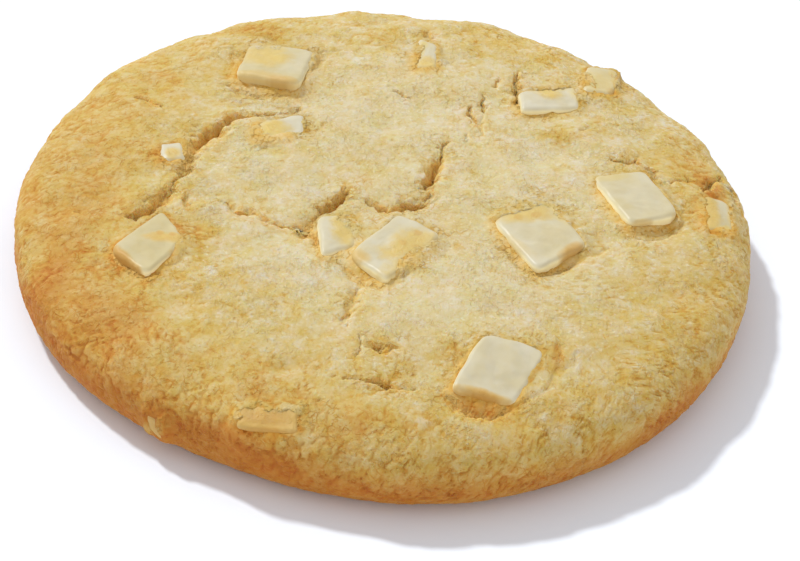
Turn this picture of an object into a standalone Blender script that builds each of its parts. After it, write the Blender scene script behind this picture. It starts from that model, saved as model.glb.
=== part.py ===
"""White chocolate cookie: a round of soft dough, cracked on top, with chunks of white chocolate in it.

The dough is a ball of small triangles laid over the cookie's section: a flat dome, a round shoulder, a
tucked-in foot and a flat base. Cracks, lumps and a slow unevenness are pressed into its top, and each
chunk is a rounded slab that stands in a pocket cut for it.
"""

import math
from dataclasses import dataclass

import bmesh
import bpy
import numpy as np
from mathutils import Matrix, Vector

MM = 0.001  # the tables below are in millimetres

# The section of the dough.
RADIUS = 44.0 * MM
TOP = 12.0 * MM  # height of the dome's middle
WIDEST = 4.2 * MM  # height of the widest line
SHOULDER = 3.6  # power of the superellipse between the dome and the widest line
FOOT_IN = 6.0 * MM  # how far the foot tucks in under the widest line
TRIM = 0.6 * MM  # spare depth under the base, cut off flat at the end

# The outline is not quite round: waves around it, as (count, size, bearing of a crest in degrees).
OUTLINE_WAVES = [
    (3, 0.21 * MM, 57.0),
    (4, 0.19 * MM, 26.0),
    (5, 0.28 * MM, -1.0),
    (6, 0.11 * MM, 17.0),
    (7, 0.12 * MM, 19.0),
]

# Slow unevenness of the top.
UNEVEN_SEED = 11
UNEVEN_WAVES = 26
UNEVEN_SIZE = 0.12 * MM
UNEVEN_LENGTH = (5.0 * MM, 16.0 * MM)

BALL_STEPS = 7  # subdivisions of the ball that becomes the dough
DOUGH_TRIANGLES = 8200
SECTION_STEPS = 400  # points on the shoulder and on the foot
BASE_STEPS = 200  # points across the base
RELIEF_FADE = 0.08  # share of the top's area, next to the widest line, in which its relief fades out

POCKET_GAP = 0.3 * MM
POCKET_ABOVE = 4.0 * MM  # how far a pocket's cutter stands over its chunk
CHUNK_ROUND = 0.9 * MM
CHUNK_FOOT = 0.92  # a chunk's foot is this much of its top
ROUND_SEGMENTS = 2
TRIM_WIDTH = 2.4 * RADIUS
TRIM_DEPTH = 8.0 * MM

# Swellings and hollows of the top: (x, y, half length, half width, turn in degrees, height).
SWELLINGS = [
    (-10.0, 4.0, 13.0, 8.0, 15.0, 0.35),
    (9.0, -17.0, 9.0, 6.0, -20.0, 0.3),
    (-20.8, -6.4, 1.9, 1.5, 20.0, 0.55),
    (3.0, 22.5, 5.5, 3.2, 10.0, 0.4),
    (37.0, 3.0, 3.5, 6.0, 0.0, 0.3),
    (2.0, -38.0, 9.0, 2.6, 0.0, 0.35),
    (-17.5, 15.6, 5.5, 1.8, -3.0, -0.5),
    (6.5, -31.0, 4.2, 3.4, 10.0, -0.55),
    (-9.8, -32.6, 1.8, 1.2, 20.0, -0.5),
    (15.5, -20.6, 4.6, 2.2, 0.0, -0.35),
    (-34.0, -5.0, 3.0, 3.4, 30.0, -0.25),
    (12.6, 22.0, 2.6, 4.6, 0.0, -0.4),
    # the dough sinks beside the chunks' bare sides
    (31.9, -1.8, 4.2, 1.9, 26.0, -0.8),
    (25.6, 1.4, 4.6, 1.3, 116.0, -0.4),
    (12.0, -35.9, 4.4, 1.7, -6.0, -0.8),
    (9.6, -30.6, 4.0, 1.2, 80.0, -0.4),
    (14.7, -9.3, 4.4, 1.3, 138.0, -0.5),
    (21.6, -10.0, 4.0, 1.4, 48.0, -0.6),
    (-2.6, -16.4, 3.6, 1.5, -36.0, -0.7),
    (-29.5, -18.6, 3.8, 1.5, -51.0, -0.7),
    (-16.7, 18.2, 5.0, 1.5, -10.0, -0.7),
    (19.8, 19.2, 4.2, 1.2, 24.0, -0.3),
]

# Cracks as routes of (x, y, half width, depth).
CRACKS = [
    # from the junction on the left, up and round the middle plate
    [(-30.6, -8.8, 0.3, 0.3), (-29.3, -8.2, 1.0, 1.8), (-27.8, -6.9, 1.1, 1.9),
     (-26.2, -4.9, 1.2, 1.6), (-25.5, -3.2, 0.7, 1.6), (-24.9, -0.9, 0.5, 1.0),
     (-24.3, 1.0, 0.9, 1.3), (-24.1, 4.4, 1.0, 1.6), (-23.2, 6.6, 1.3, 2.1),
     (-22.3, 8.4, 1.6, 2.5), (-21.0, 10.2, 1.3, 2.3), (-19.7, 11.8, 0.9, 1.8),
     (-17.4, 13.0, 0.6, 0.6), (-15.4, 13.2, 0.8, 1.0), (-13.4, 14.1, 0.8, 1.0),
     (-11.0, 15.2, 0.3, 0.2)],
    # along the lower edge of the middle plate to the middle chunks
    [(-19.2, -5.6, 0.3, 0.3), (-17.6, -6.5, 0.8, 1.0), (-15.6, -7.3, 0.8, 1.1),
     (-13.2, -8.3, 0.6, 0.9), (-10.6, -8.7, 0.5, 0.7), (-9.2, -9.0, 1.0, 1.7),
     (-8.6, -7.3, 0.9, 1.6), (-7.6, -5.2, 0.9, 1.9), (-6.2, -3.6, 1.1, 2.3),
     (-5.2, -2.5, 1.0, 2.2), (-5.3, -1.1, 0.4, 0.6)],
    # behind the middle chunk and up through the gash on its right
    [(-2.6, -2.6, 0.4, 0.5), (-0.4, -3.6, 0.8, 1.9), (1.4, -3.1, 1.1, 1.9),
     (3.2, -2.4, 1.1, 1.7), (4.6, -1.2, 0.8, 1.2), (4.5, 1.2, 0.5, 1.2),
     (4.7, 3.0, 0.8, 2.0), (5.0, 4.8, 0.9, 2.3), (5.5, 6.6, 0.7, 1.8),
     (5.9, 8.0, 0.4, 0.8), (6.3, 10.6, 0.5, 0.7), (8.6, 12.0, 0.4, 0.5),
     (10.5, 13.4, 0.4, 0.5), (9.5, 15.8, 0.6, 1.0), (8.9, 17.4, 0.6, 1.1),
     (9.0, 19.2, 0.3, 0.4)],
    # beside the back right chunks
    [(10.5, 17.6, 0.4, 0.6), (10.3, 19.5, 0.5, 0.9), (10.4, 21.4, 0.3, 0.3)],
    [(14.6, 19.6, 0.5, 0.9), (14.3, 22.2, 0.7, 1.5), (14.2, 24.6, 0.6, 1.3),
     (14.5, 27.6, 0.4, 0.6)],
    # below the middle chunk and down to the front
    [(-5.6, -13.8, 0.4, 0.5), (-3.0, -16.9, 0.7, 1.2), (-2.2, -19.4, 1.0, 1.0),
     (-2.9, -21.8, 0.9, 1.0), (-3.4, -25.4, 0.5, 0.6), (-1.7, -27.4, 0.4, 0.5),
     (-1.5, -29.9, 0.4, 0.6)],
    [(-0.8, -28.6, 0.4, 0.5), (0.8, -28.8, 0.7, 1.2), (2.8, -28.6, 0.4, 0.4)],
    [(-3.2, -34.2, 0.3, 0.3), (0.4, -33.8, 0.6, 1.1), (2.2, -34.1, 0.7, 1.3),
     (5.6, -34.6, 0.4, 0.4)],
    # round the front right chunk
    [(11.2, -26.5, 0.5, 0.8), (9.9, -28.8, 0.8, 1.3), (8.6, -32.2, 0.5, 0.7)],
    [(8.6, -35.4, 0.4, 0.8), (10.4, -36.6, 0.7, 1.6), (13.4, -37.0, 0.7, 1.7),
     (17.0, -35.4, 0.4, 0.6), (19.8, -31.8, 0.5, 0.7), (20.8, -28.6, 0.5, 0.7),
     (21.0, -25.4, 0.6, 1.2), (20.6, -23.8, 0.3, 0.4)],
    [(22.9, -25.4, 0.5, 0.6), (22.4, -27.3, 0.6, 0.8), (21.4, -28.2, 0.3, 0.4)],
    # round the chunk right of the middle
    [(12.6, -7.4, 0.5, 0.6), (14.6, -10.8, 0.5, 0.8), (16.6, -13.6, 0.6, 1.2),
     (18.4, -14.4, 0.6, 1.3), (20.6, -12.6, 0.6, 1.2), (23.2, -9.8, 0.8, 1.0),
     (25.6, -7.2, 0.5, 0.6)],
    # short splits near the rim
    [(-32.4, 15.9, 0.3, 0.3), (-30.8, 14.9, 0.5, 0.8), (-28.8, 12.9, 0.3, 0.3)],
    [(26.6, 10.9, 0.4, 0.6), (28.2, 10.9, 0.6, 1.2), (29.6, 11.8, 0.4, 0.5)],
    [(31.0, 10.6, 0.4, 0.5), (31.9, 9.0, 0.6, 1.0), (32.6, 7.4, 0.4, 0.6)],
    [(37.2, 7.8, 0.4, 0.9), (38.3, 9.2, 0.7, 1.6), (39.0, 11.0, 0.6, 1.3),
     (40.0, 13.0, 0.4, 0.5)],
    # beside the back left chunk
    [(-9.0, 28.6, 0.4, 0.6), (-10.0, 27.4, 0.7, 1.2), (-10.8, 23.6, 0.6, 1.2),
     (-12.0, 20.0, 0.6, 1.1), (-13.4, 17.4, 0.5, 0.9), (-17.0, 16.9, 0.5, 1.0),
     (-20.8, 17.6, 0.6, 1.2), (-21.6, 20.4, 0.5, 0.8)],
    # beside the left chunk
    [(-31.8, -15.8, 0.4, 0.7), (-30.0, -17.8, 0.6, 1.5), (-27.6, -20.6, 0.7, 1.7),
     (-25.6, -20.9, 0.4, 0.9), (-23.4, -17.4, 0.4, 0.7)],
]


@dataclass(frozen=True)
class Chunk:
    """A slab of white chocolate, in millimetres and degrees.

    Its middle stands at x, y on the dome, its length runs along +X before it is turned, skew slides
    the far long side along, taper widens its +X end, rise lifts its top over the dough, and tip_x and
    tip_y raise its +X and +Y ends.
    """

    name: str
    x: float
    y: float
    length: float
    width: float
    thick: float
    turn: float
    skew: float = 0.0
    taper: float = 0.0
    rise: float = 0.3
    tip_x: float = 0.0
    tip_y: float = 0.0


CHUNKS = [
    Chunk("chunk_back_left", -15.7, 23.7, 8.4, 9.8, 4.0, -10, -0.2, 0.05, 0.8, 1, -7),
    Chunk("chunk_upper_left", -13.9, 10.2, 6.4, 3.8, 3.2, 26, 0.6, 0.0, 0.3, 1, -1),
    Chunk("chunk_left_small", -26.3, 3.7, 3.0, 3.7, 2.6, 16, 0.2, 0.0, 0.4, -2, 0),
    Chunk("chunk_left", -26.6, -14.0, 6.6, 8.4, 3.6, -51, -1.6, -0.12, 0.55, 2, -4),
    Chunk("chunk_centre_left", -5.5, -9.5, 4.8, 6.4, 3.4, 28, 1.2, -0.1, 0.4, -5, 0),
    Chunk("chunk_centre", 1.2, -11.2, 6.4, 11.2, 3.8, -36, -0.6, 0.06, 0.7, -1, -3),
    Chunk("chunk_centre_right", 18.0, -5.6, 9.0, 10.4, 4.0, 48, 1.6, 0.0, 0.5, -3, -2),
    Chunk("chunk_right", 29.3, 3.5, 7.2, 10.2, 3.8, 26, 0.1, -0.04, 0.65, 0, -5),
    Chunk("chunk_front_right", 14.1, -30.2, 7.5, 9.8, 4.0, -6, 1.2, 0.0, 0.5, -6, 0),
    Chunk("chunk_front_rim", -10.8, -39.6, 7.0, 3.4, 2.8, -3, -0.2, 0.12, 0.3, -2, -8),
    Chunk("chunk_back_right", 18.5, 21.9, 8.0, 4.9, 3.6, 24, 0.8, 0.04, 0.5, -3, -3),
    Chunk("chunk_back_rim", 24.9, 28.6, 4.2, 7.0, 3.4, 8, 0.9, -0.04, 0.5, 0, 2),
    Chunk("chunk_back", 2.9, 29.1, 2.9, 6.6, 3.0, -11, -0.6, -0.12, 0.35, 3, 2),
    Chunk("chunk_right_rim", 39.3, 3.8, 3.8, 6.8, 2.8, 3, 0.0, -0.06, 0.25, 2, 0),
    Chunk("chunk_left_rim", -23.3, -37.1, 2.2, 2.6, 2.2, 0, 0.3, 0.0, 0.25, 0, 0),
]

DOUGH_COLOUR = (0.66, 0.53, 0.28, 1.0)
DOUGH_ROUGHNESS = 0.85
CHOCOLATE_COLOUR = (0.78, 0.68, 0.43, 1.0)
CHOCOLATE_ROUGHNESS = 0.45


def outline_radius(bearing):
    """Radius of the widest line at a bearing, in metres."""
    radius = np.full_like(bearing, RADIUS)
    for count, size, crest in OUTLINE_WAVES:
        radius = radius + size * np.cos(count * (bearing - math.radians(crest)))
    return radius


def dome_height(share):
    """Height of the plain top at a share of the radius."""
    share = np.clip(share, 0.0, 1.0)
    return WIDEST + (TOP - WIDEST) * (1.0 - share**SHOULDER) ** (1.0 / SHOULDER)


def section():
    """The section as (share of the radius, inset, height, area up to there), from the top's middle."""
    angle = np.linspace(0.0, math.pi / 2, SECTION_STEPS)
    top_share = np.sin(angle) ** (2.0 / SHOULDER)
    foot_inset = FOOT_IN * (1.0 - np.cos(angle[1:]))
    foot_height = WIDEST - (WIDEST + TRIM) * np.sin(angle[1:])
    base_share = np.linspace(1.0, 0.0, BASE_STEPS)[1:]
    share = np.concatenate([top_share, np.ones(foot_inset.size), base_share])
    inset = np.concatenate([np.zeros(angle.size), foot_inset, FOOT_IN * base_share])
    height = np.concatenate([dome_height(top_share), foot_height, np.full(base_share.size, -TRIM)])
    radius = share * RADIUS - inset
    step = np.hypot(np.diff(radius), np.diff(height))
    ring = 2.0 * math.pi * 0.5 * (radius[1:] + radius[:-1]) * step
    area = np.concatenate([[0.0], np.cumsum(ring)])
    return share, inset, height, area / area[-1]


def unevenness(x, y):
    """A sum of long waves in random directions."""
    rng = np.random.default_rng(UNEVEN_SEED)
    total = np.zeros_like(x)
    for _ in range(UNEVEN_WAVES):
        turn = rng.uniform(0.0, math.pi)
        number = 2.0 * math.pi / rng.uniform(*UNEVEN_LENGTH)
        phase = rng.uniform(0.0, 2.0 * math.pi)
        total += np.sin(number * (x * math.cos(turn) + y * math.sin(turn)) + phase)
    return UNEVEN_SIZE * total * math.sqrt(2.0 / UNEVEN_WAVES)


def swellings(x, y):
    """The sum of the rounded swellings and hollows."""
    total = np.zeros_like(x)
    for cx, cy, half_length, half_width, turn, height in SWELLINGS:
        cos, sin = math.cos(math.radians(turn)), math.sin(math.radians(turn))
        dx, dy = x - cx * MM, y - cy * MM
        along = (dx * cos + dy * sin) / (half_length * MM)
        across = (dy * cos - dx * sin) / (half_width * MM)
        total += height * MM * np.exp(-(along**2 + across**2))
    return total


def crack_depth(x, y):
    """Depth of the deepest crack at each point: a rounded groove along each route."""
    depth = np.zeros_like(x)
    for route in CRACKS:
        points = np.array(route) * MM
        for (ax, ay, aw, ad), (bx, by, bw, bd) in zip(points[:-1], points[1:]):
            dx, dy = bx - ax, by - ay
            along = np.clip(((x - ax) * dx + (y - ay) * dy) / (dx * dx + dy * dy), 0.0, 1.0)
            off = np.hypot(x - ax - along * dx, y - ay - along * dy)
            width = aw + along * (bw - aw)
            groove = (ad + along * (bd - ad)) * np.exp(-((off / width) ** 2))
            depth = np.maximum(depth, groove)
    return depth


def add_object(collection, name, mesh=None):
    """A new object in a collection."""
    obj = bpy.data.objects.new(name, mesh)
    collection.objects.link(obj)
    return obj


def make_collection(name):
    """A new collection under the scene's own."""
    collection = bpy.data.collections.new(name)
    bpy.context.scene.collection.children.link(collection)
    return collection


def make_material(name, colour, roughness):
    """A Principled material of one colour."""
    material = bpy.data.materials.new(name)
    material.use_nodes = True
    shader = material.node_tree.nodes["Principled BSDF"]
    shader.inputs["Base Color"].default_value = colour
    shader.inputs["Roughness"].default_value = roughness
    shader.inputs["Metallic"].default_value = 0.0
    material.diffuse_color = colour
    return material


def dough_mesh():
    """The dough's mesh: a ball laid over the section, with cracks and swellings in its top."""
    bm = bmesh.new()
    bmesh.ops.create_icosphere(bm, subdivisions=BALL_STEPS, radius=1.0)
    mesh = bpy.data.meshes.new("dough")
    bm.to_mesh(mesh)
    bm.free()
    ball = np.empty(len(mesh.vertices) * 3, np.float32)
    mesh.vertices.foreach_get("co", ball)
    ball = ball.reshape(-1, 3).astype(float)

    bearing = np.arctan2(ball[:, 1], ball[:, 0])
    share_at, inset_at, height_at, area_at = section()
    area = (1.0 - np.clip(ball[:, 2], -1.0, 1.0)) / 2.0
    share = np.interp(area, area_at, share_at)
    inset = np.interp(area, area_at, inset_at)
    height = np.interp(area, area_at, height_at)
    radius = share * outline_radius(bearing) - inset
    x, y = radius * np.cos(bearing), radius * np.sin(bearing)

    widest_area = area_at[np.argmax(share_at >= 1.0)]
    on_top = np.clip((widest_area - area) / (RELIEF_FADE * widest_area), 0.0, 1.0)
    height = height + on_top * (unevenness(x, y) + swellings(x, y) - crack_depth(x, y))
    mesh.vertices.foreach_set("co", np.stack([x, y, height], axis=1).ravel().astype(np.float32))
    mesh.update()
    return mesh


def chunk_frame(chunk):
    """The chunk's place on the dome, with its Z along the dome's normal."""
    x, y = chunk.x * MM, chunk.y * MM
    bearing = math.atan2(y, x)
    radius = float(outline_radius(np.array([bearing]))[0])
    share = math.hypot(x, y) / radius
    height = float(dome_height(share))
    up_share = (height - WIDEST) / (TOP - WIDEST)
    out = share ** (SHOULDER - 1.0) / radius
    up = up_share ** (SHOULDER - 1.0) / (TOP - WIDEST)
    normal = Vector((out * math.cos(bearing), out * math.sin(bearing), up)).normalized()
    side = Vector((0.0, 1.0, 0.0)).cross(normal).normalized()
    frame = Matrix.Identity(4)
    frame.col[0] = (*side, 0.0)
    frame.col[1] = (*normal.cross(side), 0.0)
    frame.col[2] = (*normal, 0.0)
    frame.col[3] = (x, y, height, 1.0)
    return frame @ Matrix.Rotation(math.radians(chunk.turn), 4, "Z")


def slab_mesh(name, chunk, grow=0.0, above=0.0):
    """A chunk's slab from a cube: four skewed corners, a tipped top and a slightly smaller foot."""
    bm = bmesh.new()
    bmesh.ops.create_cube(bm, size=2.0)
    for vert in bm.verts:
        side_x, side_y, is_top = vert.co.x, vert.co.y, vert.co.z > 0
        foot = 1.0 if is_top else CHUNK_FOOT
        half_length = chunk.length * MM / 2 * foot + grow
        half_width = chunk.width * MM / 2 * foot * (1.0 + chunk.taper * side_x) + grow
        vert.co.x = side_x * half_length + side_y * chunk.skew * MM
        vert.co.y = side_y * half_width
        tip = vert.co.x * math.tan(math.radians(chunk.tip_x))
        tip += vert.co.y * math.tan(math.radians(chunk.tip_y))
        top = chunk.rise * MM + tip
        vert.co.z = top + above if is_top else top - chunk.thick * MM - grow
    mesh = bpy.data.meshes.new(name)
    bm.to_mesh(mesh)
    bm.free()
    return mesh


def round_edges(obj):
    """Rounds every edge of a slab."""
    bevel = obj.modifiers.new("Rounded", "BEVEL")
    bevel.width = CHUNK_ROUND
    bevel.segments = ROUND_SEGMENTS
    bevel.limit_method = "NONE"


def make_chunk(chunk, parts, material, root):
    """One chunk as its own object."""
    obj = add_object(parts, chunk.name, slab_mesh(chunk.name, chunk))
    obj.matrix_world = chunk_frame(chunk)
    obj.parent = root
    obj.data.materials.append(material)
    round_edges(obj)
    obj.data.shade_smooth()
    return obj


def make_pocket(chunk, cutters):
    """The cutter of one chunk's pocket: the same slab, larger by the gap and open upwards."""
    mesh = slab_mesh("pocket_" + chunk.name, chunk, POCKET_GAP, POCKET_ABOVE)
    obj = add_object(cutters, mesh.name, mesh)
    obj.matrix_world = chunk_frame(chunk)
    round_edges(obj)
    return obj


def make_base_trim(cutters):
    """The block under the cookie that trims its base flat."""
    bm = bmesh.new()
    bmesh.ops.create_cube(bm, size=1.0)
    mesh = bpy.data.meshes.new("base_trim")
    bm.to_mesh(mesh)
    bm.free()
    obj = add_object(cutters, "base_trim", mesh)
    obj.scale = (TRIM_WIDTH, TRIM_WIDTH, TRIM_DEPTH)
    obj.location = (0.0, 0.0, -TRIM_DEPTH / 2)
    return obj


def make_dough(parts, cutters, material, root):
    """The dough, thinned to fewer triangles, with the pockets cut and the base trimmed."""
    obj = add_object(parts, "dough", dough_mesh())
    obj.parent = root
    obj.data.materials.append(material)
    thin = obj.modifiers.new("Thin", "DECIMATE")
    thin.ratio = DOUGH_TRIANGLES / len(obj.data.polygons)
    cut = obj.modifiers.new("Pockets and base", "BOOLEAN")
    cut.operation = "DIFFERENCE"
    cut.operand_type = "COLLECTION"
    cut.collection = cutters
    cut.solver = "EXACT"
    obj.data.shade_smooth()
    return obj


def hide_cutters(cutters):
    """Keeps the cutters out of the render."""
    for obj in cutters.objects:
        obj.hide_render = True
        obj.display_type = "WIRE"


def main():
    """Clears the scene and builds the cookie."""
    for obj in list(bpy.data.objects):
        bpy.data.objects.remove(obj)
    parts = make_collection("white chocolate cookie")
    cutters = make_collection("cutters")
    root = add_object(parts, "cookie")
    dough = make_material("baked_dough", DOUGH_COLOUR, DOUGH_ROUGHNESS)
    chocolate = make_material("white_chocolate", CHOCOLATE_COLOUR, CHOCOLATE_ROUGHNESS)
    for chunk in CHUNKS:
        make_chunk(chunk, parts, chocolate, root)
        make_pocket(chunk, cutters)
    make_base_trim(cutters)
    make_dough(parts, cutters, dough, root)
    hide_cutters(cutters)
    bpy.context.view_layer.update()


main()
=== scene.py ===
"""White chocolate cookie: the looks of the baked dough and of its chunks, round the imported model.

Lengths are in millimetres and angles in degrees until a mesh, a light or the camera is made. The dough
is one surface laid over the cookie's plain form, with the same swellings, cracks and chunks as its
solids, and with crumb, fissures and browning on top of them.
"""

from __future__ import annotations

import logging
import math
from collections.abc import Iterator
from dataclasses import dataclass
from enum import Enum

import bmesh
import bpy
import numpy as np
from mathutils import Matrix, Vector


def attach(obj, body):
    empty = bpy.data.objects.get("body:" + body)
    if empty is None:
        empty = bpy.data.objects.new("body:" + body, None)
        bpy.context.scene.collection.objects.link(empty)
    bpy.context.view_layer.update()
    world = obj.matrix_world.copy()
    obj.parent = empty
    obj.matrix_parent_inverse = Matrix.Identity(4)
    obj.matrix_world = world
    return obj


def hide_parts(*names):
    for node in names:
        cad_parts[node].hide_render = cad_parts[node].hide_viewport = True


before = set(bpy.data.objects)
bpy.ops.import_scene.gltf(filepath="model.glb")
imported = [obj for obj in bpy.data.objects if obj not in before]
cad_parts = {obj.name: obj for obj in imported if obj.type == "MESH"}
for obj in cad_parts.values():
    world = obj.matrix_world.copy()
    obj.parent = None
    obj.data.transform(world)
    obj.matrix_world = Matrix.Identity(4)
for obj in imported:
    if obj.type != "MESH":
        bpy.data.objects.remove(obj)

Array = np.ndarray
Colour = tuple[float, float, float]
Band = tuple[float, float]  # where something grows from none to all
Span = tuple[float, float, float, float]  # from, to, and what it gives at each
Recipe = tuple[float, ...]
Route = list[tuple[float, float, float, float]]
Socket = bpy.types.NodeSocket
Value = Socket | float
Tint = Socket | Colour

LOG = logging.getLogger("cookie")
BODY = "root"
MM = 0.001
TINY = 1e-9  # keeps a division away from 0

# Swellings and hollows of the top: (x, y, half length, half width, turn, height).
SWELLINGS = [
    (-10, 4, 13, 8, 15, 0.35),
    (9, -17, 9, 6, -20, 0.3),
    (-20.8, -6.4, 1.9, 1.5, 20, 0.55),
    (3, 22.5, 5.5, 3.2, 10, 0.4),
    (37, 3, 3.5, 6, 0, 0.3),
    (2, -38, 9, 2.6, 0, 0.35),
    (-17.5, 15.6, 5.5, 1.8, -3, -0.5),
    (6.5, -31, 4.2, 3.4, 10, -0.55),
    (-9.8, -32.6, 1.8, 1.2, 20, -0.5),
    (15.5, -20.6, 4.6, 2.2, 0, -0.35),
    (-34, -5, 3, 3.4, 30, -0.25),
    (12.6, 22, 2.6, 4.6, 0, -0.4),
    # the dough sinks beside the chunks' bare sides
    (31.9, -1.8, 4.2, 1.9, 26, -0.8),
    (25.6, 1.4, 4.6, 1.3, 116, -0.4),
    (12, -35.9, 4.4, 1.7, -6, -0.8),
    (9.6, -30.6, 4, 1.2, 80, -0.4),
    (14.7, -9.3, 4.4, 1.3, 138, -0.5),
    (21.6, -10, 4, 1.4, 48, -0.6),
    (-2.6, -16.4, 3.6, 1.5, -36, -0.7),
    (-29.5, -18.6, 3.8, 1.5, -51, -0.7),
    (-16.7, 18.2, 5, 1.5, -10, -0.7),
    (19.8, 19.2, 4.2, 1.2, 24, -0.3),
]

# Cracks as routes of (x, y, half width, depth).
CRACKS = [
    # the lower edge of the middle plate, from the left
    [(-19.2, -5.6, 0.3, 0.3), (-17.8, -6.4, 0.6, 0.9), (-16, -7.2, 0.7, 1.2), (-14.6, -7.6, 0.4, 0.6),
     (-13.2, -8.3, 0.5, 0.9), (-11.5, -8.8, 0.3, 0.6), (-10.2, -8.7, 0.3, 0.6), (-9.2, -9, 0.9, 1.6),
     (-8, -10.6, 0.6, 1.8), (-7.4, -12, 0.3, 0.8)],
    [(-9.3, -9.3, 0.8, 1.5), (-8.6, -7.3, 0.7, 1.5), (-7.6, -5.2, 0.7, 1.8), (-6.3, -3.6, 0.9, 2.2),
     (-5.2, -2.5, 0.9, 2.2), (-5.3, -1.2, 0.4, 0.8)],
    # behind the middle chunk, and the gash on its right
    [(-2.6, -2.6, 0.4, 0.6), (-1.4, -3.3, 0.5, 1.4), (-0.4, -4, 0.6, 2), (1.2, -3.2, 0.9, 1.8),
     (3, -2.5, 1, 1.6), (4.4, -1.6, 0.9, 1.2), (4.8, 0, 0.4, 0.8), (4.5, 1.5, 0.4, 1.2)],
    [(4.4, 1.2, 0.4, 1.2), (4.7, 3, 0.7, 2), (5, 4.8, 0.8, 2.2), (5.5, 6.6, 0.6, 1.8),
     (5.9, 7.8, 0.3, 0.8)],
    [(5.6, 9.2, 0.35, 0.7), (6.3, 10.6, 0.35, 0.7)],
    [(8.2, 11.2, 0.25, 0.5), (8.9, 12.6, 0.25, 0.4)],
    [(10.5, 13, 0.3, 0.5), (10.6, 14.6, 0.3, 0.5), (9.4, 15.6, 0.5, 1), (8.9, 17.2, 0.5, 1.1),
     (9, 18.8, 0.3, 0.6)],
    # beside the back right chunks
    [(10.6, 17.8, 0.25, 0.7), (10.3, 19.5, 0.35, 0.9), (10.4, 21.2, 0.2, 0.5)],
    [(14.6, 19.8, 0.5, 0.9), (14.5, 22, 0.5, 1.6), (14.4, 24.5, 0.5, 1.4), (14.5, 27, 0.4, 1),
     (14.7, 28, 0.2, 0.5)],
    [(11.7, 24.2, 0.25, 0.6), (11.9, 25.8, 0.3, 0.7)],
    # from the junction on the left, up and round the middle plate
    [(-30.5, -8.8, 0.3, 0.4), (-29.3, -8.2, 0.9, 1.8), (-27.8, -6.9, 1, 1.9), (-26.3, -4.9, 1.1, 1.6),
     (-25.6, -3.6, 0.6, 1.6), (-25.2, -2.2, 0.3, 0.8), (-24.8, -0.8, 0.4, 1), (-24.3, 0.8, 0.8, 1.3),
     (-24.2, 2.8, 0.9, 1.5), (-24, 4.6, 0.9, 1.5), (-23.2, 6.6, 1.2, 2), (-22.3, 8.4, 1.4, 2.4),
     (-21, 10, 1.1, 2.2), (-19.9, 11.6, 0.8, 2), (-18.8, 12.6, 0.6, 1), (-17.2, 13, 0.5, 0.6),
     (-15.4, 13.2, 0.7, 1), (-13.7, 14, 0.7, 1), (-12.2, 14.8, 0.5, 0.9), (-11, 15.2, 0.3, 0.3)],
    [(-23.8, -4.6, 0.4, 0.8), (-23.5, -6.4, 0.5, 1)],
    # below the middle chunk and down to the front
    [(-2.6, -18.6, 0.5, 0.6), (-2.6, -20, 0.9, 0.9), (-2.9, -21.8, 0.7, 0.9), (-3.4, -23.5, 0.5, 0.8),
     (-3.4, -25.5, 0.3, 0.5)],
    [(-1.5, -27, 0.25, 0.5), (-1.5, -29.9, 0.3, 0.6)],
    [(-0.6, -28.6, 0.3, 0.6), (0.8, -28.8, 0.6, 1.2), (2, -28.7, 0.4, 0.9), (3.2, -28.5, 0.2, 0.3)],
    [(-3.2, -34.2, 0.2, 0.3), (-1, -34, 0.3, 0.5), (0.4, -33.6, 0.5, 1.1), (2, -34, 0.6, 1.3),
     (3.4, -34.2, 0.4, 0.9), (5.5, -34.6, 0.3, 0.5)],
    # short splits near the rim
    [(-32.4, 15.9, 0.2, 0.3), (-31.2, 15.1, 0.35, 0.8), (-30.2, 14.6, 0.3, 0.8), (-29.3, 13.8, 0.3, 0.8),
     (-28.8, 12.9, 0.15, 0.3)],
    [(26.8, 10.7, 0.3, 0.7), (28, 10.6, 0.4, 1.2), (29.2, 11.1, 0.4, 1.2), (29.4, 12, 0.2, 0.4)],
    [(31, 10.6, 0.3, 0.5), (31.8, 9, 0.5, 1), (32.3, 7.5, 0.4, 0.9)],
    [(33.8, 8.2, 0.3, 0.8), (34.6, 9.2, 0.4, 1), (35.8, 9.8, 0.3, 0.5)],
    [(37.3, 7.6, 0.3, 1), (38.2, 8.8, 0.5, 1.6), (38.9, 10.6, 0.5, 1.4), (40, 12.6, 0.4, 0.8)],
    [(41.4, 11.5, 0.3, 0.7), (42, 9, 0.4, 1), (42.6, 6.5, 0.3, 0.7)],
    # small marks
    [(22.8, 16.2, 0.3, 0.5), (23.6, 17, 0.3, 0.4)],
    [(-0.8, 20, 0.2, 0.4), (0.2, 19.7, 0.35, 0.6), (1.4, 19.2, 0.2, 0.3)],
    [(-36.4, -7.8, 0.3, 0.4), (-35.5, -8.3, 0.3, 0.4)],
    [(3.2, 34.5, 0.3, 0.6), (2.8, 36, 0.3, 0.6)],
]

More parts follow.
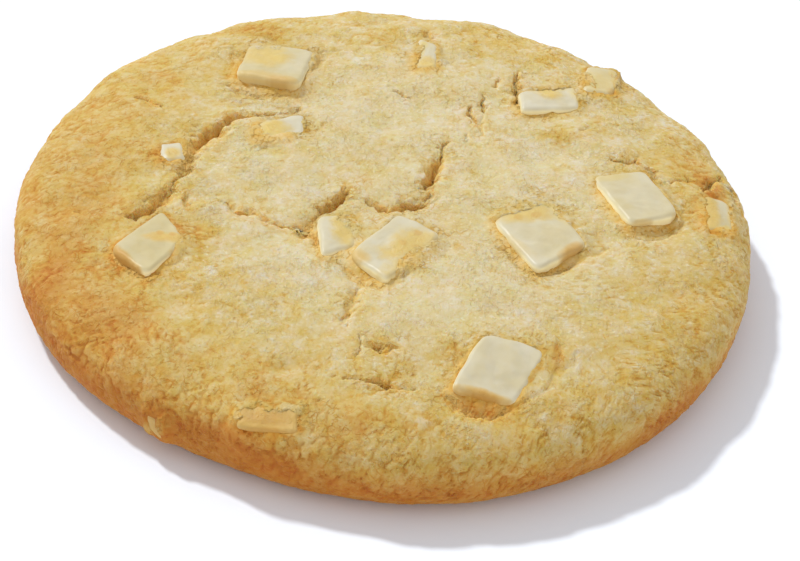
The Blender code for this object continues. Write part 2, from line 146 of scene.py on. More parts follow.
# Narrow gaps beside the chunks, as the same kind of routes.
CREVICES = [
    # under the middle chunk
    [(-5.5, -13.6, 0.3, 0.5), (-4.2, -15.2, 0.35, 0.8), (-2.8, -16.6, 0.5, 1.2), (-1.6, -17.6, 0.4, 1),
     (0.2, -18.3, 0.3, 0.6)],
    # round the front right chunk
    [(11.4, -26.3, 0.4, 0.8), (10.2, -28.5, 0.6, 1.3), (9.2, -31.2, 0.4, 0.9), (8, -33.8, 0.4, 0.6)],
    [(8.6, -35, 0.3, 0.9), (10, -36.3, 0.5, 1.6), (12, -36.7, 0.6, 2), (13.8, -36.6, 0.4, 1.8),
     (16.5, -35.3, 0.3, 0.8), (18.2, -33.4, 0.4, 0.7), (20, -31.5, 0.4, 0.7), (20.4, -29.6, 0.4, 0.8),
     (20.9, -27, 0.5, 0.6), (20.8, -25.2, 0.5, 1.2), (20.6, -23.9, 0.3, 0.5)],
    [(22.9, -25.6, 0.4, 0.7), (22.4, -27.3, 0.5, 0.8), (21.4, -28.1, 0.3, 0.6)],
    # round the chunk right of the middle
    [(12.5, -6.5, 0.4, 0.6), (14, -9.3, 0.4, 0.8), (16.4, -12.6, 0.5, 1.2), (18, -13.4, 0.5, 1.4),
     (20, -12, 0.5, 1.2), (22.3, -10.2, 0.6, 1)],
    [(24, -8.2, 0.6, 0.8), (25.2, -7.4, 0.4, 0.9), (25.8, -6.2, 0.3, 0.4)],
    # beside the right chunk
    [(30.5, -3.9, 0.5, 0.9), (32.5, -2.6, 0.3, 0.9), (34.6, -0.8, 0.3, 0.9), (35.1, 1, 0.3, 0.8),
     (35, 2.8, 0.2, 0.4)],
    [(24.7, 0, 0.3, 0.4), (25.8, -0.8, 0.3, 0.5)],
    # beside the back left chunk
    [(-10.4, 28.2, 0.6, 1.2), (-10.2, 26, 0.5, 1.2), (-11, 23.6, 0.5, 1.2), (-12.2, 20.6, 0.5, 1.2),
     (-13, 18.8, 0.4, 0.8)],
    [(-9.6, 28.3, 0.4, 0.9), (-8.2, 28.8, 0.3, 0.6)],
    [(-13.8, 17.8, 0.4, 1), (-16.5, 17.6, 0.4, 1), (-19.5, 17.8, 0.5, 1.2), (-21, 19.5, 0.4, 0.9)],
    [(-20.8, 26, 0.5, 1.4), (-21.3, 27.5, 0.5, 0.9), (-23.2, 27.6, 0.2, 0.3)],
    [(-18, 31.5, 0.6, 0.9), (-16.4, 30.8, 0.5, 1)],
    # beside the left chunk
    [(-31.8, -15, 0.3, 0.8), (-30, -16.8, 0.5, 1.6), (-28.2, -18.8, 0.5, 1.8), (-27.2, -19.7, 0.4, 1.3),
     (-25.5, -19.2, 0.3, 0.7), (-23.8, -17.2, 0.3, 0.7), (-22.6, -15.6, 0.4, 0.9)],
    # beside the back right chunk and the chunk at the rim behind it
    [(17.5, 19.6, 0.3, 0.5), (20, 19.8, 0.3, 0.7), (22.2, 20.8, 0.4, 0.8), (23.2, 21.6, 0.3, 0.5)],
    [(25.4, 25.2, 0.4, 0.8), (26.4, 26.8, 0.5, 1.1), (27.4, 28.8, 0.3, 0.7)],
]

# Patches where the crust is browner or paler than around it: (x, y, half length, half width, turn, more).
CRUST_PATCHES = [
    (-30, 6, 9, 15, 0, 0.08),
    (-5, 7, 9, 7, 0, 0.08),
    (-16, -20, 5, 5, 0, 0.05),
    (-35.5, -9, 4.5, 7, 0, 0.09),
    (-26, 22, 6, 5, 0, 0.08),
    (27.4, 15.4, 4, 4, 0, 0.05),
    (36, 14.5, 4, 4, 0, 0.18),
    (30, -10, 5, 4, 0, -0.05),
    (23.5, -35, 5, 3.5, 30, -0.03),
    (-2, -35, 9, 3, 0, -0.04),
    (-24.3, -37.2, 6, 1.7, -33, 0.32),
    (-16, -41.4, 5, 1.8, -21, 0.5),
    (35.5, -26.8, 6, 1.8, 53, 0.2),
    (-39, -20.5, 3, 6, -25, 0.26),
    (-18, 33, 5, 2.2, -10, 0.22),
    (-2.6, 33, 2.6, 3, 0, 0.2),
    (15, 34, 9, 4, -20, 0.14),
    (-8, -15, 5.5, 5, 0, -0.14),
    (9, -20, 10, 5, 0, -0.12),
    (21, 4, 6, 9, 0, -0.12),
    (20.5, 14.8, 4.2, 1.6, 12, 0.26),
    (37.4, 4.2, 2, 3.6, 0, 0.25),
    (38.4, 9.4, 1.6, 2.4, 20, 0.5),
    (-9, -36, 6, 3.6, 0, 0.08),
    (-2, -40.2, 5, 2.4, 0, 0.1),
    (12, -36.2, 3.6, 1, -6, 0.3),
    (20.6, -26.6, 0.9, 3, 8, 0.3),
    (9.4, -27.6, 1.2, 2, 25, 0.2),
    (-11.5, -42.4, 4.4, 0.7, -14, 0.3),
    (-31, -26, 5, 8, 45, 0.2),
    (-22.4, -11, 3.4, 2.6, 0, 0.26),
    (-25.6, -35.6, 2.4, 0.8, -35, -0.2),
    (34, -14, 5, 8, 0, 0.08),
]


# ---------------------------------------------------------------- patterns in space


LATTICE_PRIMES = np.array([73856093, 19349663, 83492791], np.uint64)
FOLDS = ((15, 2246822519), (13, 3266489917), (16, 1))
SEED_STEP = 7919
SLOPES = 256
JITTER_BITS = (0, 10, 20)
JITTER_SIZE = 1023
NOISE_GAIN = 1.45  # brings the noise's usual reach to about 1


def lattice_code(cells: Array, seed: int) -> Array:
    """A scrambled whole number for each cell of a cubic lattice.

    Formula: the cell's three numbers times three primes, added, and folded over a few times.

    Args:
        cells: whole cell numbers, one row of three per point.
        seed: which pattern.

    Returns:
        One unsigned number per point.
    """
    code = (cells.astype(np.int64).astype(np.uint64) * LATTICE_PRIMES).sum(axis=1, dtype=np.uint64)
    code = code + np.uint64(seed * SEED_STEP)
    for shift, factor in FOLDS:
        code = (code ^ (code >> np.uint64(shift))) * np.uint64(factor)
    return code


@dataclass(frozen=True)
class Noise:
    """Smooth noise with lumps about one cell wide; the seed says which."""

    cell: float
    seed: int

    def at(self, points: Array) -> Array:
        """The noise at each point, from about -1 to 1.

        Formula: each lattice corner has a random slope, and a point blends the heights of its eight
        corners' slopes with the fade 6t^5 - 15t^4 + 10t^3.

        Args:
            points: places, one row of x, y, z per point.

        Returns:
            One value per point.
        """
        slopes = np.random.default_rng(self.seed).normal(size=(SLOPES, 3))
        slopes /= np.linalg.norm(slopes, axis=1, keepdims=True)
        scaled = points / self.cell
        base = np.floor(scaled)
        part = scaled - base
        fade = part**3 * (part * (part * 6.0 - 15.0) + 10.0)
        total = np.zeros(len(points))
        for corner in np.ndindex(2, 2, 2):
            place = np.array(corner)
            slope = slopes[(lattice_code(base + place, self.seed) % np.uint64(SLOPES)).astype(int)]
            weight = np.prod(np.where(place == 1, fade, 1.0 - fade), axis=1)
            total += weight * np.einsum("ij,ij->i", slope, part - place)
        return NOISE_GAIN * total

    def layered(self, points: Array, layers: int, keep: float = 0.5) -> Array:
        """A sum of noises, each half as wide as the last and keep times as high."""
        finer = [Noise(self.cell / 2**layer, self.seed + layer) for layer in range(layers)]
        return sum(keep**layer * noise.at(points) for layer, noise in enumerate(finer))

    def shift(self, points: Array) -> Array:
        """Three noises side by side: a direction to push each point in."""
        return np.stack([Noise(self.cell, self.seed + axis).at(points) for axis in range(3)], axis=1)


def shifts(points: Array, layers: tuple[tuple[float, Noise], ...]) -> Array:
    """Directions to push each point in: each noise's times its share, added up."""
    return sum(share * noise.shift(points) for share, noise in layers)


def nearest_seed(points: Array, scatter: Noise) -> tuple[Array, Array]:
    """The nearest of a scatter of seeds, one seed to a lattice cell.

    Formula: over the 27 cells round a point, the least distance to the cell's seed.

    Args:
        points: places, one row of x, y, z per point.
        scatter: the cell and the number of the scatter.

    Returns:
        The distance, in the points' unit, and the nearest cell's code, one of each per point.
    """
    scaled = points / scatter.cell
    base = np.floor(scaled)
    nearest = np.full(len(points), np.inf)
    owner = np.zeros(len(points), np.uint64)
    for offset in np.ndindex(3, 3, 3):
        neighbour = base + np.array(offset) - 1.0
        code = lattice_code(neighbour, scatter.seed)
        parts = [(code >> np.uint64(bits)) & np.uint64(JITTER_SIZE) for bits in JITTER_BITS]
        jitter = np.stack(parts, axis=1) / JITTER_SIZE
        distance = np.linalg.norm(neighbour + jitter - scaled, axis=1)
        owner = np.where(distance < nearest, code, owner)
        nearest = np.minimum(nearest, distance)
    return nearest * scatter.cell, owner


def ramp(value: Array, start: float, end: float) -> Array:
    """A smooth step from 0 at start to 1 at end, 3t^2 - 2t^3 between them."""
    share = np.clip((value - start) / (end - start), 0.0, 1.0)
    return share * share * (3.0 - 2.0 * share)


def bell(offset: Array, width: Array | float) -> Array:
    """A smooth peak: exp(-(offset / width)^2)."""
    return np.exp(-((offset / width) ** 2))


def patch_level(x: Array, y: Array, patch: tuple[float, ...]) -> Array:
    """How far out a point lies from an ellipse's middle, squared: 1 is on the ellipse.

    Args:
        x: places along X.
        y: places along Y.
        patch: the ellipse's x, y, half length, half width and turn.

    Returns:
        The squared share of the way to the ellipse, one per point.
    """
    middle_x, middle_y, half_length, half_width, turn = patch
    cos, sin = math.cos(math.radians(turn)), math.sin(math.radians(turn))
    along = ((x - middle_x) * cos + (y - middle_y) * sin) / half_length
    across = ((y - middle_y) * cos - (x - middle_x) * sin) / half_width
    return along**2 + across**2


# ---------------------------------------------------------------- meshes


def new_piece(name: str, points: Array, faces: list[Array], values: dict[str, Array]) -> bpy.types.Object:
    """An object from arrays, with its place in its mesh.

    Args:
        name: the piece's name.
        points: corners in millimetres.
        faces: blocks of faces, each an array of rows with the same count of corners.
        values: named values, one per corner.

    Returns:
        The object, smooth shaded and linked into the scene.
    """
    corners = np.concatenate([block.ravel() for block in faces])
    sizes = np.concatenate([np.full(len(block), block.shape[1]) for block in faces])
    mesh = bpy.data.meshes.new(name)
    mesh.vertices.add(len(points))
    mesh.vertices.foreach_set("co", (points * MM).astype(np.float32).ravel())
    mesh.loops.add(len(corners))
    mesh.loops.foreach_set("vertex_index", corners.astype(np.int32))
    mesh.polygons.add(len(sizes))
    mesh.polygons.foreach_set("loop_start", (np.cumsum(sizes) - sizes).astype(np.int32))
    for key, value in values.items():
        attribute = mesh.attributes.new(key, "FLOAT", "POINT")
        attribute.data.foreach_set("value", value.astype(np.float32))
    mesh.update(calc_edges=True)
    mesh.validate()
    mesh.shade_smooth()
    obj = bpy.data.objects.new(name, mesh)
    bpy.context.scene.collection.objects.link(obj)
    return obj


def disc_grid(cells: int) -> tuple[Array, Array, Array]:
    """A square grid laid on the unit disc so that its cells keep equal areas.

    Formula: each square ring becomes a round one. With r the larger of |u| and |v|, the bearing is an
    eighth of a turn times the smaller over the larger, counted from the larger one's axis.

    Args:
        cells: cells along each side.

    Returns:
        The radius and the bearing of each grid point, and the faces, seen from above.
    """
    line = np.linspace(-1.0, 1.0, cells + 1)
    u, v = np.meshgrid(line, line)
    wide = np.abs(u) > np.abs(v)
    reach = np.where(wide, u, v)
    other = np.where(wide, v, u)
    slant = np.divide(other, reach, out=np.zeros_like(reach), where=reach != 0.0) * math.pi / 4
    turn = np.where(wide, slant, math.pi / 2 - slant)
    bearing = np.arctan2(reach * np.sin(turn), reach * np.cos(turn))
    index = np.arange((cells + 1) ** 2).reshape(cells + 1, cells + 1)
    faces = np.stack([index[:-1, :-1], index[:-1, 1:], index[1:, 1:], index[1:, :-1]], axis=-1)
    return np.abs(reach).ravel(), bearing.ravel(), faces.reshape(-1, 4)


def disc_edge(cells: int) -> Array:
    """The corners round the edge of a disc_grid, counted the way that bearings grow."""
    index = np.arange((cells + 1) ** 2).reshape(cells + 1, cells + 1)
    return np.concatenate([index[0, :-1], index[:-1, -1], index[-1, :0:-1], index[:0:-1, 0]])


def halving_strip(outer: Array, inner: Array) -> Array:
    """Triangles facing down between a ring and an inner ring of half as many corners.

    Args:
        outer: the ring's corners.
        inner: the inner ring's corners.

    Returns:
        The faces, three to each corner of the inner ring.
    """
    first, middle, last = outer[0::2], outer[1::2], np.roll(outer, -2)[0::2]
    near, far = inner, np.roll(inner, -1)
    rows = [(middle, first, near), (last, middle, far), (far, middle, near)]
    return np.concatenate([np.stack(row, axis=1) for row in rows])


# ---------------------------------------------------------------- the cookie's form


@dataclass(frozen=True)
class Skin:
    """Points on the cookie's plain form.

    points and normals have a row per point; share is the share of the radius, and below is 0 on the
    top and grows to 1 at the foot.
    """

    points: Array
    normals: Array
    share: Array
    below: Array


@dataclass(frozen=True)
class Section:
    """The plain form's section, from the top's middle to the floor.

    share and inset give the radius, below is 0 on the top and 1 at the floor, out and up are the
    normal, and swept is the share of the whole area inside each place.
    """

    share: Array
    inset: Array
    height: Array
    below: Array
    out: Array
    up: Array
    swept: Array


@dataclass(frozen=True)
class CookieForm:
    """The plain form: a flat dome, a round shoulder, a tucked-in foot and a flat base.

    waves are the outline's, as (count, size, bearing of a crest). Points are not moved along the skin
    beyond still_share of the radius.
    """

    radius: float = 44.0
    top: float = 12.0
    widest: float = 4.2
    shoulder: float = 3.6
    foot_in: float = 6.0
    trim: float = 0.6
    waves: tuple[tuple[int, float, float], ...] = (
        (3, 0.21, 57),
        (4, 0.19, 26),
        (5, 0.28, -1),
        (6, 0.11, 17),
        (7, 0.12, 19),
    )
    steps: int = 400
    still_share: float = 0.96

    def outline_radius(self, bearing: Array) -> Array:
        """Radius of the widest line: the mean plus a cosine for each wave."""
        waves = (size * np.cos(count * (bearing - math.radians(crest))) for count, size, crest in self.waves)
        return self.radius + sum(waves)

    def dome_height(self, share: Array) -> Array:
        """Height of the top at a share of the radius: a superellipse over the widest line."""
        inner = 1.0 - np.clip(share, 0.0, 1.0) ** self.shoulder
        return self.widest + (self.top - self.widest) * inner ** (1.0 / self.shoulder)

    @property
    def foot_turn(self) -> float:
        """The angle at which the foot's ellipse reaches the floor, in radians."""
        return math.asin(self.widest / (self.widest + self.trim))

    @property
    def base_inset(self) -> float:
        """How far the base's edge lies inside the widest line."""
        return self.foot_in * (1.0 - math.cos(self.foot_turn))

    def section(self) -> Section:
        """The superellipse of the dome, then the ellipse of the foot, cut at the floor.

        Returns:
            The section, steps places long on the top and half as many below it.
        """
        angle = np.linspace(0.0, math.pi / 2, self.steps)
        foot = np.linspace(0.0, self.foot_turn, self.steps // 2)[1:]
        top_share = np.sin(angle) ** (2.0 / self.shoulder)
        share = np.concatenate([top_share, np.ones(foot.size)])
        inset = np.concatenate([np.zeros(angle.size), self.foot_in * (1.0 - np.cos(foot))])
        foot_height = self.widest - (self.widest + self.trim) * np.sin(foot)
        height = np.concatenate([self.dome_height(top_share), foot_height])
        below = np.concatenate([np.zeros(angle.size), foot / self.foot_turn])
        radius = share * self.radius - inset
        step = np.hypot(np.diff(radius), np.diff(height))
        swept = np.concatenate([[0.0], np.cumsum((radius[1:] + radius[:-1]) * step)])
        out, up = -np.gradient(height), np.gradient(radius)
        return Section(share, inset, height, below, out, up, swept / swept[-1])

    def skin(self, reach: Array, bearing: Array) -> Skin:
        """Lays a disc over the top and the foot, down to the floor, so that areas keep their shares.

        Formula: a disc point at radius r lies where the section has swept r^2 of the whole area.

        Args:
            reach: radius on the unit disc.
            bearing: direction, in radians.

        Returns:
            The points, with their normals, shares and places below the top.
        """
        line = self.section()
        share, inset, height, below, out, up = (
            np.interp(reach**2, line.swept, values)
            for values in (line.share, line.inset, line.height, line.below, line.out, line.up)
        )
        radius = share * self.outline_radius(bearing) - inset
        cos, sin = np.cos(bearing), np.sin(bearing)
        points = np.stack([radius * cos, radius * sin, height], axis=1)
        normals = np.stack([out * cos, out * sin, up], axis=1) / np.hypot(out, up)[:, None]
        return Skin(points, normals, share, below)

    def moved(self, reach: Array, bearing: Array, x: Array, y: Array) -> tuple[Array, Array]:
        """Radius and direction on the disc of places on the top, given from above.

        Args:
            reach: radius on the unit disc of the points before the move.
            bearing: their direction, in radians.
            x: their new places along X.
            y: their new places along Y.

        Returns:
            The new radius and direction; points at the rim and below it stay as they are.
        """
        line = self.section()
        new_bearing = np.arctan2(y, x)
        share = np.hypot(x, y) / self.outline_radius(new_bearing)
        top = slice(0, self.steps)
        new_reach = np.sqrt(np.interp(share, line.share[top], line.swept[top]))
        stay = (share > self.still_share) | (np.interp(reach**2, line.swept, line.below) > 0.0)
        return np.where(stay, reach, new_reach), np.where(stay, bearing, new_bearing)


@dataclass(frozen=True)
class Stretches:
    """Straight stretches on the top, with a half width and a depth at each end.

    Each row is (x, y, half width, depth) at one end and the same at the other.
    """

    rows: Array

    @classmethod
    def along(cls, routes: list[Route]) -> Stretches:
        """The stretches between the neighbouring places of each route."""
        return cls(np.array([first + last for route in routes for first, last in zip(route[:-1], route[1:])]))

    def near(self, x: Array, y: Array, margin: float) -> Iterator[tuple[Array, ...]]:
        """Each stretch with the points near it.

        Args:
            x: places along X.
            y: places along Y.
            margin: how far off a point may lie.

        Yields:
            The points' numbers, how far along the stretch they lie, their offsets from it along X and
            Y, and the stretch's row.
        """
        for row in self.rows:
            ax, ay, bx, by = row[[0, 1, 4, 5]]
            dx, dy = bx - ax, by - ay
            picked = np.flatnonzero(
                (np.abs(x - (ax + bx) / 2) < abs(dx) / 2 + margin)
                & (np.abs(y - (ay + by) / 2) < abs(dy) / 2 + margin)
            )
            along = ((x[picked] - ax) * dx + (y[picked] - ay) * dy) / (dx * dx + dy * dy)
            along = np.clip(along, 0.0, 1.0)
            yield picked, along, x[picked] - ax - along * dx, y[picked] - ay - along * dy, row

    def pull(self, x: Array, y: Array, strength: float, width: float) -> tuple[Array, Array]:
        """Shifts that gather points at the nearest stretch.

        Formula: minus strength times the offset from the stretch times exp(-(distance / width)^2).

        Args:
            x: places along X.
            y: places along Y.
            strength: the share of the way that the nearest points are shifted.
            width: how far the pull reaches.

        Returns:
            The shifts along X and Y.
        """
        best = np.full(len(x), np.inf)
        shift = np.zeros((2, len(x)))
        for picked, _, off_x, off_y, _ in self.near(x, y, 3.0 * width):
            off = np.hypot(off_x, off_y)
            closer = off < best[picked]
            rows = picked[closer]
            best[rows] = off[closer]
            shift[:, rows] = -np.stack([off_x, off_y])[:, closer] * strength * bell(off[closer], width)
        return shift[0], shift[1]


@dataclass(frozen=True)
class Cut:
    """How a table of routes is cut: its shares of their widths, depths and browning.

    wander is how far, as a share of the relief's own, its edges are pushed about.
    """

    routes: list[Route]
    width: float
    depth: float
    brown: float
    wander: float


@dataclass(frozen=True)
class Relief:
    """What stands on and is sunk into the plain form, apart from the chunks."""

    uneven_seed: int = 11
    uneven_waves: int = 26
    uneven_size: float = 0.12
    uneven_length: Band = (5.0, 16.0)
    cuts: tuple[Cut, ...] = (Cut(CRACKS, 0.8, 0.78, 0.78, 1.0), Cut(CREVICES, 0.75, 0.3, 0.62, 0.6))
    cut_reach: float = 4.0
    cut_vary: float = 0.4
    vary: Noise = Noise(2.2, 39)
    ragged: float = 0.62
    ragged_layers: tuple[tuple[float, Noise], ...] = (
        (1.0, Noise(1.5, 31)),
        (0.55, Noise(0.675, 37)),
        (0.3, Noise(0.33, 43)),
    )
    crumbled_width: float = 2.4
    lip: float = 0.06
    lip_place: float = 1.8
    lip_width: float = 0.8
    lip_fade: float = 3.0
    lip_most: float = 1.2
    lump_size: float = 0.11
    lumps: Noise = Noise(3.2, 41)
    warp_size: float = 0.5
    warp: Noise = Noise(1.3, 53)
    crumb_size: float = 0.12
    crumb_rough: Band = (0.7, 2.0)
    crumb_mean: float = 0.35
    coarse: Noise = Noise(1.4, 47)
    fine: Noise = Noise(0.7, 48)
    fine_share: float = 0.7
    hollow_width: float = 0.16
    hollow_share: float = 0.6
    crease_width: float = 0.1
    crease_depth: float = 0.07
    creased: Noise = Noise(3.4, 61)
    creased_band: Band = (0.05, 0.75)
    rim_share: float = 0.5
    rim_band: Band = (0.5, 1.0)
    pits: Noise = Noise(2.6, 67)
    pit_radius: float = 0.36
    pit_depth: float = 0.16
    pit_share: int = 5
    rough_deepens: float = 2.0

    def unevenness(self, x: Array, y: Array) -> Array:
        """A sum of long waves in random directions, the same as in the solid.

        Args:
            x: places along X.
            y: places along Y.

        Returns:
            The height, one per point.
        """
        rng = np.random.default_rng(self.uneven_seed)
        total = np.zeros_like(x)
        for _ in range(self.uneven_waves):
            turn = rng.uniform(0.0, math.pi)
            number = 2.0 * math.pi / (rng.uniform(*[length * MM for length in self.uneven_length]) / MM)
            phase = rng.uniform(0.0, 2.0 * math.pi)
            total += np.sin(number * (x * math.cos(turn) + y * math.sin(turn)) + phase)
        return self.uneven_size * total * math.sqrt(2.0 / self.uneven_waves)

    def swellings(self, x: Array, y: Array) -> Array:
        """The rounded swellings and hollows: height times exp(-(distance as a share)^2), added up."""
        return sum(height * np.exp(-patch_level(x, y, ellipse)) for *ellipse, height in SWELLINGS)

    def cracks(self, points: Array) -> tuple[Array, Array, Array, Array]:
        """The cracks' depth, the lips beside them, and how crumbled and how browned the dough is there.

        Formula: along each stretch of a route, depth times exp(-(distance / half width)^2), with the
        places shifted by a fine noise so that the edges are ragged; the deepest one counts.

        Args:
            points: places on the plain form.

        Returns:
            The depth, the height of the lip, the crumbling from 0 to 1 and the browning, as the depth
            of a crack that is as brown, one of each per point.
        """
        ragged = self.ragged * shifts(points, self.ragged_layers)
        vary = 1.0 + self.cut_vary * self.vary.at(points)
        depth, lip, crumbled, browned = np.zeros((4, len(points)))
        for cut in self.cuts:
            x, y, _ = (points + cut.wander * ragged).T
            for near, along, off_x, off_y, row in Stretches.along(cut.routes).near(x, y, self.cut_reach):
                off = np.hypot(off_x, off_y)
                half_width, full = (row[side] + along * (row[side + 4] - row[side]) for side in (2, 3))
                width = cut.width * vary[near] * half_width
                deep = cut.depth * full
                inside = bell(off, width)
                beside = bell(off - self.lip_place * width, self.lip_width)
                for total, level in (
                    (depth, deep * inside),
                    (browned, cut.brown * full * inside),
                    (lip, self.lip * np.minimum(deep, self.lip_most) * beside),
                    (crumbled, np.minimum(deep, 1.0) * bell(off, self.crumbled_width)),
                ):
                    total[near] = np.maximum(total[near], level)
        return depth, lip * np.exp(-self.lip_fade * depth), crumbled, browned

    def crumb(self, points: Array, share: Array, rough: Array) -> tuple[Array, Array]:
        """The sandy surface: lumps, rounded crumbs with creases between them, and pits.

        Formula: a layered noise, plus the sizes of two finer noises, whose zero lines make the
        creases, less exp(-(noise over width)^2) along some of them, less a bowl round some seeds of a
        scatter.

        Args:
            points: places on the plain form.
            share: share of the radius; creases are denser towards the rim.
            rough: how crumbled the dough is there, from 0 to 1.

        Returns:
            The height and how open the creases and pits are, one of each per point.
        """
        warped = points + self.warp_size * self.warp.shift(points)
        coarse, fine = self.coarse.at(warped), self.fine.at(warped)
        least, most = self.crumb_rough
        size = self.crumb_size * (least + (most - least) * rough)
        height = self.lump_size * self.lumps.layered(points, 3)
        height += size * (np.abs(coarse) - self.crumb_mean)
        height += size * self.fine_share * (np.abs(fine) - self.crumb_mean)
        patchy = self.creased.at(points) + self.rim_share * ramp(share, *self.rim_band)
        patchy = ramp(patchy, *self.creased_band)
        crease = bell(coarse, self.crease_width) * patchy
        near, owner = nearest_seed(warped, self.pits)
        picked = owner % np.uint64(self.pit_share) == 0
        pit = np.where(picked, np.clip(1.0 - (near / self.pit_radius) ** 2, 0.0, 1.0), 0.0)
        height -= (self.crease_depth * crease + self.pit_depth * pit) * (1.0 + self.rough_deepens * rough)
        hollow = bell(coarse, self.hollow_width) + self.hollow_share * bell(fine, self.hollow_width)
        opened = np.maximum(crease, pit) + self.hollow_share * rough * hollow
        return height, np.clip(opened, 0.0, 1.0)


@dataclass(frozen=True)
class Crust:
    """How far the crust is browned, from 0, pale, to 1, brown.

    It grows with the share of the radius and down the side, more on the left than on the right, less
    at the back, and by the table of patches. Each band is where its share grows from none to all.
    """

    middle: float = 0.14
    rim: float = 0.25
    rim_band: Band = (0.35, 0.95)
    side: float = 0.5
    side_band: Band = (-8.5, -3.0)
    left: float = 0.175
    left_band: Band = (0.2, 0.9)
    left_turn: float = 10.0
    back: float = 0.12
    back_band: Band = (4.0, 28.0)
    patch_edge: float = 1.5

    def bake(self, skin: Skin) -> Array:
        """The browning at the skin's points: the middle's and the shares of the others, added up.

        Args:
            skin: the points on the plain form.

        Returns:
            The browning from 0 to 1, one per point.
        """
        x, y, z = skin.points.T
        left = 0.5 - 0.5 * np.cos(np.arctan2(y, x) + math.radians(self.left_turn))
        level = self.middle + self.rim * ramp(skin.share, *self.rim_band)
        level += self.side * ramp(-z, *self.side_band) - self.back * ramp(y, *self.back_band)
        level += self.left * left * ramp(skin.share, *self.left_band)
        for *ellipse, more in CRUST_PATCHES:
            level += more * np.exp(-(patch_level(x, y, ellipse) ** self.patch_edge))
        return np.clip(level, 0.0, 1.0)


# ---------------------------------------------------------------- the chunks


WEAR = ((1.0, 2.6, 500), (0.3, 1.0, 507))  # layers of a chunk's wear, as (share, cell, step of the seed)
CORNER_POWER = 8.0
TAPER_LIMITS = (0.5, 1.5)
FILM_STRETCH = (1.0, 1.0, 0.3)  # the edges of films change slowly down the sides
BEHIND = np.array([0.45, 0.89])  # the direction in which the dough lies higher against the chunks
BEHIND_SNUG = 0.75
BEHIND_BAND = (-0.1, 0.7)
NEAREST = 0.01  # keeps divisions away from 0


class Cover(Enum):
    """What lies over a patch of a chunk: a stain in its surface, or dough that crept over it."""

    STAIN = "stain"
    DOUGH = "dough"


@dataclass(frozen=True)
class Film:
    """A patch of baked dough on a chunk, in the chunk's own millimetres.

    film is how yellow the chocolate is there and brown how far it is browned, both from 0 to 1.
    """

    x: float
    y: float
    half_length: float
    half_width: float
    turn: float
    film: float
    brown: float
    cover: Cover = Cover.STAIN


@dataclass(frozen=True)
class Chunk:
    """A slab of white chocolate, with the same sizes as its solid.

    Its middle stands at x, y on the dome, its length runs along +X before it is turned, skew slides
    the far long side along, taper widens its +X end, rise lifts its top over the dough, and tip_x and
    tip_y raise its +X and +Y ends. snug is how far the dough climbs its front edges, white how white
    it is and baked how far its sides are browned, all from 0 to about 1.
    """

    name: str
    x: float
    y: float
    length: float
    width: float
    thick: float
    turn: float
    skew: float
    taper: float
    rise: float
    tip_x: float
    tip_y: float
    films: tuple[Film, ...] = ()
    edge_round: float = 0.62
    wobble: float = 0.17
    ragged: float = 0.5
    ragged_cell: float = 1.5
    film_fade: float = 2.1
    snug: float = 0.25
    white: float = 0.4
    baked: float = 0.45

    @property
    def seed(self) -> int:
        """A number of the chunk's own for its patterns."""
        return sum(self.name.encode())

    def top_height(self, x: Array, y: Array) -> Array:
        """Height of the tipped top over the dough, in the chunk's own directions."""
        return self.rise + x * math.tan(math.radians(self.tip_x)) + y * math.tan(math.radians(self.tip_y))

    def worn(self, local: Array) -> Array:
        """How wear has pushed each place of the slab about: two layers of smooth noise."""
        layers = tuple((share, Noise(cell, self.seed + step)) for share, cell, step in WEAR)
        return self.wobble * shifts(local, layers)

    def cover(self, local: Array, kind: Cover | None = None) -> tuple[Array, Array]:
        """How yellow and how brown the patches make each place.

        Formula: each patch is an ellipse whose edge is pushed about by a noise; the strongest counts.

        Args:
            local: places in the chunk's own directions.
            kind: which patches count, or all of them.

        Returns:
            The film and the browning, from 0 to 1.
        """
        flat = local * FILM_STRETCH
        ragged = self.ragged * Noise(self.ragged_cell, self.seed).layered(flat, 3, 0.6)
        film, brown = np.zeros((2, len(local)))
        for patch in self.films:
            if kind in (None, patch.cover):
                ellipse = (patch.x, patch.y, patch.half_length, patch.half_width, patch.turn)
                level = ramp(ragged - patch_level(local[:, 0], local[:, 1], ellipse), -self.film_fade, 0.0)
                film = np.maximum(film, patch.film * level)
                brown = np.maximum(brown, patch.brown * level)
        return film, brown


DOUGH = Cover.DOUGH

